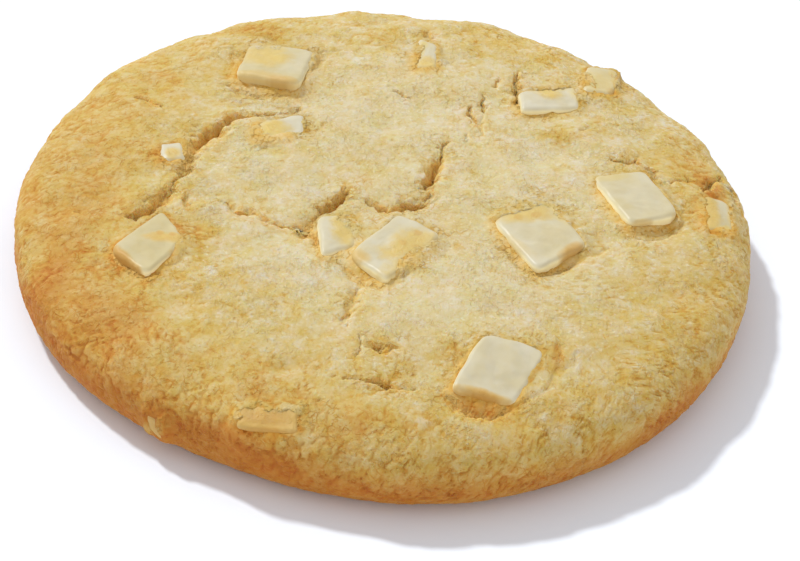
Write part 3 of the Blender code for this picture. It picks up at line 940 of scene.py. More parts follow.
CHUNKS = [
    Chunk("chunk_back_left", -15.7, 23.7, 8.4, 9.8, 4, -10, -0.2, 0.05, 0.8, 1, -7, (
        Film(-1.6, 1.2, 2.9, 2.6, -20, 0.85, 0.2),
        Film(-2.2, 3.6, 2.4, 2, 0, 0.7, 0.1, DOUGH),
        Film(-1.4, -4.8, 3.4, 1.2, 8, 0.5, 0.3),
        Film(2, -4.9, 1.8, 1, 0, 0.6, 0.6),
    ), white=0.2),
    Chunk("chunk_upper_left", -13.9, 10.2, 6.4, 3.8, 3.2, 26, 0.6, 0, 0.3, 1, -1, (
        Film(-1.4, -0.2, 2.3, 2, 0, 0.95, 0.15),
        Film(-3.2, -0.6, 2, 2.2, 0, 0.9, 0.1, DOUGH),
        Film(-1, -2.2, 2.6, 0.9, 0, 0.9, 0, DOUGH),
    ), snug=1, white=1.1),
    Chunk("chunk_left_small", -26.3, 3.7, 3, 3.7, 2.6, 16, 0.2, 0, 0.4, -2, 0, (
        Film(0.1, -0.6, 0.9, 1.1, 0, 0.9, 0.25),
    ), snug=0.9, white=0.8),
    Chunk("chunk_left", -26.6, -14, 6.6, 8.4, 3.6, -51, -1.6, -0.12, 0.55, 2, -4, (
        Film(0.9, 2.5, 3.2, 0.9, 53, 0.95, 0.4),
        Film(-0.7, 1.6, 0.5, 0.5, 0, 0.9, 0.7),
        Film(0.3, 2.7, 0.5, 0.5, 0, 0.9, 0.7),
        Film(2.6, 4, 1.6, 1.6, 0, 0.9, 0.4, DOUGH),
        Film(3.6, 2, 0.9, 1.6, 0, 0.7, 0.5),
        Film(1, -4.5, 3.6, 0.8, 0, 0.6, 0.9),
    ), snug=0.4, white=0, baked=0.8),
    Chunk("chunk_centre_left", -5.5, -9.5, 4.8, 6.4, 3.4, 28, 1.2, -0.1, 0.4, -5, 0, (
        Film(1, 0.4, 1.5, 2.9, -20, 0.9, 0.15),
        Film(2.2, 2, 1.6, 2.4, 0, 0.9, 0.1, DOUGH),
    ), white=0.6),
    Chunk("chunk_centre", 1.2, -11.2, 6.4, 11.2, 3.8, -36, -0.6, 0.06, 0.7, -1, -3, (
        Film(1.5, 1.2, 2.2, 3.9, -8, 0.9, 0.2),
        Film(3.4, 0.8, 1.5, 5.2, -6, 0.9, 0.15, DOUGH),
        Film(0.6, 0.8, 0.6, 0.5, 0, 0.8, 0.5),
        Film(2.1, 1.4, 0.7, 0.5, 0, 0.8, 0.5),
        Film(0.5, 3.7, 0.5, 0.6, 0, 0.8, 0.5),
        Film(-2, -5, 1.9, 1, 15, 0.7, 0.45),
    ), white=0.75),
    Chunk("chunk_centre_right", 18, -5.6, 9, 10.4, 4, 48, 1.6, 0, 0.5, -3, -2, (
        Film(1.4, 3.3, 3.6, 1.6, -22, 0.85, 0.2),
        Film(1.9, 4.8, 4.6, 1.5, -10, 0.9, 0.15, DOUGH),
        Film(4.6, 1.4, 1.2, 2.6, -10, 0.8, 0.1, DOUGH),
        Film(-0.2, 3.3, 0.6, 0.5, 0, 0.8, 0.5),
        Film(1.9, 2.4, 0.7, 0.5, 0, 0.8, 0.5),
        Film(0.4, -5.3, 2, 1.1, 0, 0.5, 0.8),
        Film(-4.4, 0.7, 0.8, 4, 0, 0.3, 0.1),
    ), white=0.6),
    Chunk("chunk_right", 29.3, 3.5, 7.2, 10.2, 3.8, 26, 0.1, -0.04, 0.65, 0, -5, (
        Film(-1.2, 4.4, 2.2, 0.8, 0, 0.4, 0),
        Film(-1.8, -5.4, 1.4, 0.5, 0, 0.5, 0.3),
        Film(3.4, -4.9, 0.8, 0.6, 0, 0.5, 0.3),
    ), snug=0.4, white=0.35, baked=0.05),
    Chunk("chunk_front_right", 14.1, -30.2, 7.5, 9.8, 4, -6, 1.2, 0, 0.5, -6, 0, (
        Film(-1, -5, 3.6, 0.8, 0, 0.8, 0.7),
        Film(-0.8, -5.1, 2.2, 1, 0, 0.9, 1),
        Film(5, 0.5, 0.9, 2, 0, 0.5, 0, DOUGH),
    ), snug=0.4, white=0.65, baked=0.9),
    Chunk("chunk_front_rim", -10.8, -39.6, 7, 3.4, 2.8, -3, -0.2, 0.12, 0.3, -2, -8, (
        Film(0, -0.2, 5, 2.6, 0, 1, 0.7),
        Film(0.4, -0.1, 1.6, 0.7, 0, 1, 0.3),
        Film(0, -1.8, 4, 0.6, 0, 1, 1),
        Film(0.4, 1.3, 3.6, 0.9, 0, 0.9, 0.5, DOUGH),
        Film(-3.4, 0.4, 0.9, 1.4, 0, 0.8, 0.2, DOUGH),
    ), snug=0.5, baked=0.8),
    Chunk("chunk_back_right", 18.5, 21.9, 8, 4.9, 3.6, 24, 0.8, 0.04, 0.5, -3, -3, (
        Film(0.3, 1, 1.5, 1.4, 0, 0.95, 0.2),
        Film(0.6, 2.6, 2.6, 1.2, 0, 0.9, 0.1, DOUGH),
        Film(4.3, 0.4, 1.2, 2, 0, 0.7, 0, DOUGH),
    ), snug=0.35, white=0.7),
    Chunk("chunk_back_rim", 24.9, 28.6, 4.2, 7, 3.4, 8, 0.9, -0.04, 0.5, 0, 2, (
        Film(0.2, -0.8, 2.6, 2.6, 0, 0.5, 0.05),
        Film(-1.6, -0.6, 1.2, 2.6, 0, 0.8, 0, DOUGH),
        Film(1.4, -2.8, 1, 0.8, 0, 0.9, 0.6),
        Film(1.9, 0.6, 0.8, 2.4, 0, 0.7, 0.1, DOUGH),
    ), snug=0.6),
    Chunk("chunk_back", 2.9, 29.1, 2.9, 6.6, 3, -11, -0.6, -0.12, 0.35, 3, 2, (
        Film(0.5, -2.1, 1.3, 1.6, 0, 0.9, 0.2),
        Film(-1, -0.4, 0.7, 3, 0, 0.8, 0, DOUGH),
    ), snug=1, white=0.8),
    Chunk("chunk_right_rim", 39.3, 3.8, 3.8, 6.8, 2.8, 3, 0, -0.06, 0.25, 2, 0, (
        Film(-1.1, 0, 1.2, 4, 0, 0.95, 0.3),
        Film(-1.9, 0, 0.8, 4, 0, 0.95, 0.25, DOUGH),
        Film(1.9, 0.4, 0.6, 4, 0, 0.6, 0.2, DOUGH),
        Film(0.6, -3, 1.6, 0.8, 0, 0.9, 0.1, DOUGH),
    ), snug=1),
    Chunk("chunk_left_rim", -23.3, -37.1, 2.2, 2.6, 2.2, 0, 0.3, 0, 0.25, 0, 0, (
        Film(0, 0, 3, 3, 0, 0.7, 0.7),
        Film(0.6, -0.9, 1.1, 0.8, 0, 1, 0.9, DOUGH),
        Film(-0.7, 0.9, 0.9, 0.7, 0, 1, 0.9, DOUGH),
    ), snug=1),
]


@dataclass(frozen=True)
class ChunkPlace:
    """Where a chunk stands: its middle on the dome and its three directions."""

    chunk: Chunk
    middle: Array
    turn: Array

    @classmethod
    def on(cls, form: CookieForm, chunk: Chunk) -> ChunkPlace:
        """The chunk's place, with its Z along the dome's normal and its X turned round it.

        Args:
            form: the cookie's plain form.
            chunk: the chunk.

        Returns:
            The place.
        """
        bearing = math.atan2(chunk.y, chunk.x)
        radius = float(form.outline_radius(np.array([bearing]))[0])
        share = math.hypot(chunk.x, chunk.y) / radius
        height = float(form.dome_height(np.array([share]))[0])
        rise = form.top - form.widest
        out = share ** (form.shoulder - 1.0) / radius
        up = ((height - form.widest) / rise) ** (form.shoulder - 1.0) / rise
        normal = Vector((out * math.cos(bearing), out * math.sin(bearing), up)).normalized()
        side = Vector((0.0, 1.0, 0.0)).cross(normal).normalized()
        axes = Matrix((side, normal.cross(side), normal)).transposed()
        axes = axes @ Matrix.Rotation(math.radians(chunk.turn), 3, "Z")
        return cls(chunk, np.array((chunk.x, chunk.y, height)), np.array(axes))

    def to_local(self, points: Array) -> Array:
        """Places in the chunk's own directions."""
        return (points - self.middle) @ self.turn

    def to_cookie(self, local: Array) -> Array:
        """Places in the cookie's directions."""
        return local @ self.turn.T + self.middle

    def behind(self, points: Array) -> Array:
        """How far behind the chunk each place lies, from 1 straight behind it to -1 in front of it."""
        offset = (points - self.middle)[:, :2]
        return offset @ BEHIND / np.maximum(np.linalg.norm(offset, axis=1), NEAREST)

    def snugness(self, points: Array) -> Array:
        """How far the dough climbs each side: by the chunk's own share, and more behind it."""
        return np.clip(self.chunk.snug + BEHIND_SNUG * ramp(self.behind(points), *BEHIND_BAND), 0.0, 1.0)

    def outline(self) -> Route:
        """The chunk's corners seen from above.

        Returns:
            A closed route without width or depth.
        """
        chunk = self.chunk
        signs = np.array([(-1, -1), (1, -1), (1, 1), (-1, 1), (-1, -1)])
        x = signs[:, 0] * chunk.length / 2 + signs[:, 1] * chunk.skew
        y = signs[:, 1] * chunk.width / 2 * (1.0 + chunk.taper * signs[:, 0])
        corners = self.to_cookie(np.stack([x, y, np.zeros_like(x)], axis=1))
        return [(*corner[:2], 0.0, 0.0) for corner in corners]

    def outline_distance(self, local: Array) -> Array:
        """How far outside the chunk's outline each place lies, seen along the chunk's Z.

        Formula: with a and b the place as shares of the skewed and tapered half length and half width,
        n = (|a|^p + |b|^p)^(1/p) is 1 on the outline, and the distance is the place's own times
        1 - 1/n.

        Args:
            local: places in the chunk's own directions.

        Returns:
            One distance per place, negative inside.
        """
        chunk = self.chunk
        b = local[:, 1] / (chunk.width / 2)
        for _ in range(3):
            a = (local[:, 0] - chunk.skew * b) / (chunk.length / 2)
            b = local[:, 1] / (chunk.width / 2 * np.clip(1.0 + chunk.taper * a, *TAPER_LIMITS))
        level = (np.abs(a) ** CORNER_POWER + np.abs(b) ** CORNER_POWER) ** (1.0 / CORNER_POWER)
        return np.hypot(local[:, 0], local[:, 1]) * (1.0 - 1.0 / np.maximum(level, NEAREST))


# ---------------------------------------------------------------- shader nodes


MEAN = 0.5  # the mean of a noise texture


class NodeBench:
    """Adds nodes to one tree and joins them."""

    def __init__(self, tree: bpy.types.NodeTree) -> None:
        """Works on the given tree."""
        self.tree = tree

    def put(self, socket: Socket, value: Value | Colour) -> None:
        """Joins an output to a socket, or sets the socket to a value; a colour gets its alpha.

        Args:
            socket: the socket.
            value: the output or the value.
        """
        if isinstance(value, Socket):
            self.tree.links.new(value, socket)
        else:
            socket.default_value = (*value, 1.0) if socket.type == "RGBA" else value

    def add(self, kind: str, inputs: dict | None = None, **settings: object) -> bpy.types.Node:
        """A new node.

        Args:
            kind: the node's type, without its ShaderNode prefix.
            inputs: what goes into its sockets, by name or number: an output to join, or a value.
            settings: properties of the node.

        Returns:
            The node.
        """
        node = self.tree.nodes.new("ShaderNode" + kind)
        for key, value in settings.items():
            setattr(node, key, value)
        for key, value in (inputs or {}).items():
            self.put(node.inputs[key], value)
        return node

    def math(self, operation: str, *values: Value, clamp: bool = False) -> Socket:
        """The output of a Math node on two or three values or outputs."""
        node = self.add("Math", dict(enumerate(values)), operation=operation, use_clamp=clamp)
        return node.outputs[0]

    def total(self, start: Value, *parts: tuple[Value, Value]) -> Socket:
        """The start and, for each part, its value times its share, added up."""
        for value, share in parts:
            start = self.math("MULTIPLY_ADD", value, share, start)
        return start

    def span(self, value: Value, low: float, high: float, start: float = 0.0, end: float = 1.0) -> Socket:
        """The output of a smooth Map Range node.

        Args:
            value: what it maps.
            low: the value that gives start.
            high: the value that gives end.
            start: what it gives up to low.
            end: what it gives from high on.

        Returns:
            The output.
        """
        sockets = {"Value": value, "From Min": low, "From Max": high, "To Min": start, "To Max": end}
        return self.add("MapRange", sockets, interpolation_type="SMOOTHSTEP").outputs["Result"]

    def noise(self, vector: Socket, recipe: Recipe, output: str = "Fac") -> Socket:
        """The output of a Noise Texture node.

        Args:
            vector: the place.
            recipe: lumps to a millimetre, finer layers, and how strong each layer is by the last.
            output: which output.

        Returns:
            The output.
        """
        sockets = dict(zip(("Scale", "Detail", "Roughness"), recipe))
        return self.add("TexNoise", {"Vector": vector, **sockets}).outputs[output]

    def cells(self, vector: Socket, scale: float, feature: str) -> Socket:
        """The distance output of a Voronoi Texture node."""
        return self.add("TexVoronoi", {"Vector": vector, "Scale": scale}, feature=feature).outputs["Distance"]

    def mix(self, share: Value, first: Tint, second: Tint, blend: str = "MIX") -> Socket:
        """The colour output of a Mix node.

        Args:
            share: how much of the second colour, from 0 to 1.
            first: the first colour.
            second: the second colour.
            blend: how the second is laid on the first.

        Returns:
            The output.
        """
        node = self.add("Mix", data_type="RGBA", blend_type=blend)
        sockets = {socket.identifier: socket for socket in (*node.inputs, *node.outputs)}
        for key, value in (("Factor_Float", share), ("A_Color", first), ("B_Color", second)):
            self.put(sockets[key], value)
        return sockets["Result_Color"]

    def tint(self, colour: Socket, by: Tint, share: Value = 1.0) -> Socket:
        """The colour multiplied by another, by a share from 0 to 1."""
        return self.mix(share, colour, by, "MULTIPLY")

    def colours(self, share: Socket, stops: tuple[tuple[float, Colour], ...]) -> Socket:
        """The output of a Color Ramp node.

        Args:
            share: the place on the ramp, from 0 to 1.
            stops: the places and the colours of its stops.

        Returns:
            The output.
        """
        node = self.add("ValToRGB", {"Fac": share})
        elements = node.color_ramp.elements
        while len(elements) < len(stops):
            elements.new(1.0)
        for element, (place, colour) in zip(elements, stops):
            element.position = place
            element.color = (*colour, 1.0)
        return node.outputs["Color"]

    def attribute(self, name: str) -> Socket:
        """The value of a mesh attribute."""
        return self.add("Attribute", attribute_name=name).outputs["Fac"]


class MaterialBench(NodeBench):
    """The nodes of a new material, with the place in millimetres and the crumb there."""

    def __init__(self, name: str, group: bpy.types.NodeTree) -> None:
        """Makes the material and its crumb.

        Args:
            name: the material's name.
            group: the crumb's node group.
        """
        self.material = bpy.data.materials.new(name)
        self.material.use_nodes = True
        super().__init__(self.material.node_tree)
        metres = self.add("TexCoord").outputs["Object"]
        self.place = self.add("VectorMath", {0: metres, "Scale": 1.0 / MM}, operation="SCALE").outputs[0]
        self.crumb = self.add("Group", {"Place": self.place}, node_tree=group).outputs

    def bump(self, height: Socket, distance: float) -> Socket:
        """The normal that a height gives, with its full depth in millimetres."""
        return self.add("Bump", {"Height": height, "Distance": distance * MM}).outputs["Normal"]

    def dress(self, sockets: dict[str, Value | Colour]) -> bpy.types.Material:
        """Fills sockets of the material's shader.

        Args:
            sockets: what goes into each, by name: an output to join, or a value.

        Returns:
            The material.
        """
        shader = self.tree.nodes["Principled BSDF"]
        for key, value in sockets.items():
            self.put(shader.inputs[key], value)
        return self.material


@dataclass(frozen=True)
class Crumb:
    """The sandy crumb that the dough and the film on the chunks share.

    A noise is given as NodeBench.noise takes it, a band as what NodeBench.span takes after the value,
    and the parts of a sum as the share of each.
    """

    drift: Recipe = (0.8, 2.0)
    drift_size: float = 0.8
    fine: Recipe = (1.5, 3.0, 0.6)
    grain_scale: float = 2.2
    edge_scale: float = 1.05
    edge_band: Span = (0.01, 0.12, 1.0, 0.0)
    broken: Recipe = (0.7, 1.0)
    broken_band: Band = (0.49, 0.64)
    spot: Recipe = (1.1, 1.0)
    spot_band: Band = (0.64, 0.74)
    speck: Recipe = (2.4, 1.0)
    speck_band: Band = (0.6, 0.72)
    speck_gap: float = 0.9
    glint: Recipe = (2.2, 0.0)
    glint_band: Band = (0.66, 0.82)
    height_shares: Recipe = (-0.5, -0.25, -0.3, 0.15)
    patchy: Recipe = (0.22, 2.0)
    patchy_band: Span = (0.36, 0.64, 0.45, 1.3)
    fleck: Recipe = (0.9, 4.0, 0.62)
    fleck_shares: Recipe = (1.0, 0.25, -0.6)
    fleck_mean: float = 0.31
    mottle: tuple[Recipe, Recipe] = ((0.42, 1.0), (1.5, 1.0))
    mottle_shares: Recipe = (2.3, 1.6)
    tone: Recipe = (0.17, 3.0, 0.55)
    tint: Recipe = (0.3, 2.0)

    def group(self) -> bpy.types.NodeTree:
        """The crumb as a node group.

        Returns:
            A node group that takes a place in millimetres and gives the crumb's height; Fleck, Mottle,
            Tone and Tint, which change about 0; and Gap, Spot and Glint, masks of gaps between crumbs
            and specks, of yellow-brown spots and of painted glints on the grains.
        """
        tree = bpy.data.node_groups.new("crumb", "ShaderNodeTree")
        tree.interface.new_socket("Place", in_out="INPUT", socket_type="NodeSocketVector")
        place = tree.nodes.new("NodeGroupInput").outputs["Place"]
        out = tree.nodes.new("NodeGroupOutput")
        for name, value in self.outputs(NodeBench(tree), place).items():
            tree.interface.new_socket(name, in_out="OUTPUT", socket_type="NodeSocketFloat")
            tree.links.new(value, out.inputs[name])
        return tree

    def outputs(self, bench: NodeBench, place: Socket) -> dict[str, Socket]:
        """What the group gives, by name.

        Args:
            bench: the bench of the group.
            place: the place in millimetres.

        Returns:
            The outputs.
        """
        drift = bench.noise(place, self.drift, "Color")
        push = {0: drift, 1: (self.drift_size,) * 3, 2: place}
        warped = bench.add("VectorMath", push, operation="MULTIPLY_ADD").outputs[0]
        fine = bench.noise(place, self.fine)
        grain = bench.cells(place, self.grain_scale, "SMOOTH_F1")
        edge = bench.span(bench.cells(warped, self.edge_scale, "DISTANCE_TO_EDGE"), *self.edge_band)
        gap = bench.math("MULTIPLY", edge, bench.span(bench.noise(place, self.broken), *self.broken_band))
        speck = bench.span(bench.noise(place, self.speck), *self.speck_band)
        glint = bench.span(bench.noise(place, self.glint), *self.glint_band)
        height = bench.total(fine, *zip((grain, gap, speck, glint), self.height_shares))
        patchy = bench.span(bench.noise(place, self.patchy), *self.patchy_band)
        flecks = (bench.noise(place, self.fleck), grain, fine)
        mottles = [
            bench.math("SUBTRACT", bench.noise(vector, recipe), MEAN)
            for vector, recipe in zip((warped, place), self.mottle)
        ]
        return {
            "Height": bench.math("MULTIPLY", height, patchy),
            "Fleck": bench.total(-self.fleck_mean, *zip(flecks, self.fleck_shares)),
            "Mottle": bench.total(0.0, *zip(mottles, self.mottle_shares)),
            "Tone": bench.math("SUBTRACT", bench.noise(place, self.tone), MEAN),
            "Tint": bench.math("SUBTRACT", bench.noise(warped, self.tint), MEAN),
            "Gap": bench.math("MAXIMUM", gap, bench.math("MULTIPLY", speck, self.speck_gap)),
            "Spot": bench.span(bench.noise(warped, self.spot), *self.spot_band),
            "Glint": glint,
        }


@dataclass(frozen=True)
class BakedDoughFinish:
    """Soft baked dough: cream in the middle, golden towards the rim, and warm brown in cracks,
    partly browning and partly painted warm shade.

    Each band is what NodeBench.span takes after the value. Its material reads the attributes bake,
    split, steep, crease, raised, rough, shade and open.
    """

    stops: tuple[tuple[float, Colour], ...] = (
        (0.0, (0.62, 0.59, 0.445)),
        (0.25, (0.59, 0.54, 0.35)),
        (0.5, (0.565, 0.46, 0.19)),
        (0.75, (0.528, 0.33, 0.085)),
        (1.0, (0.472, 0.205, 0.024)),
    )
    # low: partly random flecks, partly painted warm shade in the crumb's low places
    low: Colour = (0.95, 0.82, 0.42)
    pale: Colour = (1.04, 1.07, 1.36)
    deep: Colour = (0.985, 0.915, 0.68)
    pink: Colour = (1.03, 0.98, 1.03)
    green: Colour = (0.985, 1.0, 0.94)
    spot: Colour = (0.97, 0.8, 0.42)
    # gap and crease: partly browning of the crumb, partly painted warm shade in its gaps and creases
    gap: Colour = (0.94, 0.76, 0.42)
    crease: Colour = (0.98, 0.83, 0.52)
    # dip and crest: painted shade in the crumb's low places and painted light on its crests
    dip: Colour = (1.0, 0.97, 0.88)
    crest: Colour = (1.02, 1.03, 1.08)
    # glint: painted glints, pale specks on the crumb
    glint: Colour = (0.73, 0.66, 0.48)
    # painted warm shade: a warmer tint in the hollow in front of each chunk, where its shade falls
    painted_warm_shade: Colour = (1.1, 0.96, 0.68)
    # crack and crack_deep: partly browning, partly painted warm shade on the cracks' walls and floors
    crack: Colour = (0.76, 0.49, 0.135)
    crack_deep: Colour = (0.7, 0.36, 0.065)
    tone_share: float = 0.22
    fleck_share: float = 0.16
    raised_share: Span = (0.1, 0.9, 0.035, -0.035)
    crease_share: float = 0.1
    fleck_gain: Span = (0.1, 0.45, 1.32, 2.2)
    mottle_gain: Span = (0.1, 0.4, 0.5, 1.3)
    tint_gain: float = 1.5
    tint_mean: float = 0.45
    raised_band: Band = (0.1, 0.9)
    spot_share: Span = (0.1, 0.4, 0.4, 0.8)
    gap_rough: Span = (0.0, 0.7, 0.3, 1.0)
    gap_baked: Band = (0.3, 0.6)
    glint_share: Span = (0.3, 0.55, 0.4, 0.0)
    wall_steep: Band = (0.12, 0.5)
    wall_split: Band = (0.01, 0.12)
    floor_split: Band = (0.15, 0.5)
    wall_share: float = 0.8
    deep_share: Span = (0.4, 0.9, 0.0, 0.75)
    roughness: float = 0.7
    shine: float = 0.35
    grain_depth: float = 0.3
    grain_rough: Span = (0.0, 0.9, 0.8, 1.1)
    wall_grain: float = 1.6
    soft: float = 0.75
    soft_radius: Colour = (1.0, 0.65, 0.35)
    soft_scale: float = 1.2

    def browning(self, bench: MaterialBench) -> Socket:
        """How far along the stops each place lies: its browning, changed by the crumb there, and
        browner in the crumb's low places and creases as painted shade.

        Args:
            bench: the material's bench.

        Returns:
            The place on the ramp, from 0 to 1.
        """
        # browner in low places and creases: painted shade
        raised = bench.span(bench.attribute("raised"), *self.raised_share)
        crumb = ((bench.crumb["Tone"], self.tone_share), (bench.crumb["Fleck"], self.fleck_share))
        level = bench.math("ADD", bench.total(bench.attribute("bake"), *crumb), raised)
        return bench.math("MULTIPLY_ADD", bench.attribute("crease"), self.crease_share, level, clamp=True)

    def crust(self, bench: MaterialBench) -> Socket:
        """The colour of the crust outside the cracks, with painted shade in its low places, creases and
        gaps, painted glints, and painted warm shade in front of the chunks.

        Args:
            bench: the material's bench.

        Returns:
            The colour.
        """
        bake, crumb = bench.attribute("bake"), bench.crumb
        gain = bench.span(bake, *self.fleck_gain)
        low = bench.math("MULTIPLY_ADD", crumb["Fleck"], gain, MEAN, clamp=True)
        gain = bench.span(bake, *self.mottle_gain)
        mottle = bench.math("MULTIPLY_ADD", crumb["Mottle"], gain, MEAN, clamp=True)
        tint = bench.math("MULTIPLY_ADD", crumb["Tint"], self.tint_gain, self.tint_mean, clamp=True)
        raised = bench.span(bench.attribute("raised"), *self.raised_band)
        gap = bench.span(bench.attribute("rough"), *self.gap_rough)
        gap = bench.math("MAXIMUM", gap, bench.span(bake, *self.gap_baked))
        # low: the crumb's low places yellower and darker, partly random flecks and partly painted warm shade
        colour = bench.tint(bench.colours(self.browning(bench), self.stops), self.low, low)
        colour = bench.tint(colour, bench.mix(mottle, self.pale, self.deep))
        colour = bench.tint(colour, bench.mix(tint, self.pink, self.green))
        # painted shade in the crumb's low places and painted light on its crests
        colour = bench.tint(colour, bench.mix(raised, self.dip, self.crest))
        # crease: partly browning, partly painted warm shade
        colour = bench.tint(colour, self.crease, bench.attribute("crease"))
        spotted = bench.math("MULTIPLY", crumb["Spot"], bench.span(bake, *self.spot_share))
        colour = bench.tint(colour, self.spot, spotted)
        # gap: partly browning, partly painted warm shade between the crumbs
        colour = bench.tint(colour, self.gap, bench.math("MULTIPLY", crumb["Gap"], gap))
        # painted glints, fewer on browner crust
        bright = bench.math("MULTIPLY", crumb["Glint"], bench.span(bake, *self.glint_share))
        colour = bench.mix(bright, colour, self.glint)
        # painted warm shade in front of the chunks
        return bench.tint(colour, self.painted_warm_shade, bench.attribute("painted_warm_shade"))

    def material(self, group: bpy.types.NodeTree) -> bpy.types.Material:
        """The material: the crust, and over it the walls and the floors of the cracks, coloured partly
        as browning and partly as painted warm shade.

        Args:
            group: the crumb's node group.

        Returns:
            The material.
        """
        bench = MaterialBench("baked_dough", group)
        split = bench.attribute("split")
        steep = bench.span(bench.attribute("steep"), *self.wall_steep)
        wall = bench.math("MULTIPLY", steep, bench.span(split, *self.wall_split))
        wall = bench.math("MAXIMUM", wall, bench.span(split, *self.floor_split))
        # the cracks' steep walls and deep floors: browning and painted warm shade
        colour = bench.mix(bench.math("MULTIPLY", wall, self.wall_share), self.crust(bench), self.crack)
        rough = bench.span(bench.attribute("rough"), *self.grain_rough)
        rougher = bench.math("MULTIPLY_ADD", wall, self.wall_grain, rough)
        height = bench.math("MULTIPLY", bench.crumb["Height"], rougher)
        return bench.dress({
            "Base Color": bench.mix(bench.span(split, *self.deep_share), colour, self.crack_deep),
            "Normal": bench.bump(height, self.grain_depth),
            "Roughness": self.roughness,
            "Specular IOR Level": self.shine,
            "Subsurface Weight": bench.math("MULTIPLY", bench.attribute("open"), self.soft),
            "Subsurface Radius": self.soft_radius,
            "Subsurface Scale": self.soft_scale * MM,
        })


@dataclass(frozen=True)
class WhiteChocolateFinish:
    """White chocolate: waxy cream, with a painted glow on its sides, a film of baked dough and browned
    places.

    Its material reads the attributes side, film, brown, white and open.
    """

    cream: Colour = (0.57, 0.475, 0.25)
    white: Colour = (0.62, 0.565, 0.42)
    # painted glow: the shaded sides made brighter and yellower, as if lit through the chocolate
    painted_side_glow: Colour = (0.97, 0.88, 0.55)
    film: Colour = (0.66, 0.5, 0.15)
    brown: Colour = (0.54, 0.29, 0.055)
    whitened: Recipe = (0.22, 2.0)
    whitened_band: Span = (0.3, 0.7, -0.3, 0.3)
    cloud: Recipe = (0.5, 3.0)
    cloud_band: Span = (0.3, 0.7, 0.97, 1.02)
    film_roughness: Span = (0.0, 1.0, 0.42, 0.6)
    wax: Recipe = (1.1, 2.0)
    wax_share: float = 0.25
    grain_depth: float = 0.1
    soft: float = 1.0
    soft_radius: Colour = (1.0, 0.85, 0.6)
    soft_scale: float = 0.8

    def material(self, group: bpy.types.NodeTree) -> bpy.types.Material:
        """The material: cream to white, and over it a painted glow on the sides, the film and the browned
        places.

        Args:
            group: the crumb's node group.

        Returns:
            The material.
        """
        bench = MaterialBench("white_chocolate", group)
        place, film = bench.place, bench.attribute("film")
        whiter = bench.span(bench.noise(place, self.whitened), *self.whitened_band)
        whiter = bench.math("ADD", bench.attribute("white"), whiter, clamp=True)
        colour = bench.mix(whiter, self.cream, self.white)
        # painted glow on the sides, as if light came through the chocolate
        colour = bench.mix(bench.attribute("side"), colour, self.painted_side_glow)
        colour = bench.mix(film, colour, self.film)
        colour = bench.mix(bench.attribute("brown"), colour, self.brown)
        cloud = bench.span(bench.noise(place, self.cloud), *self.cloud_band)
        grey = bench.add("CombineColor", {0: cloud, 1: cloud, 2: cloud}).outputs[0]
        covered = bench.math("MULTIPLY", film, bench.crumb["Height"])
        height = bench.total(covered, (bench.noise(place, self.wax), self.wax_share))
        return bench.dress({
            "Base Color": bench.tint(colour, grey),
            "Roughness": bench.span(film, *self.film_roughness),
            "Normal": bench.bump(height, self.grain_depth),
            "Subsurface Weight": bench.math("MULTIPLY", bench.attribute("open"), self.soft),
            "Subsurface Radius": self.soft_radius,
            "Subsurface Scale": self.soft_scale * MM,
        })


# ---------------------------------------------------------------- the pieces


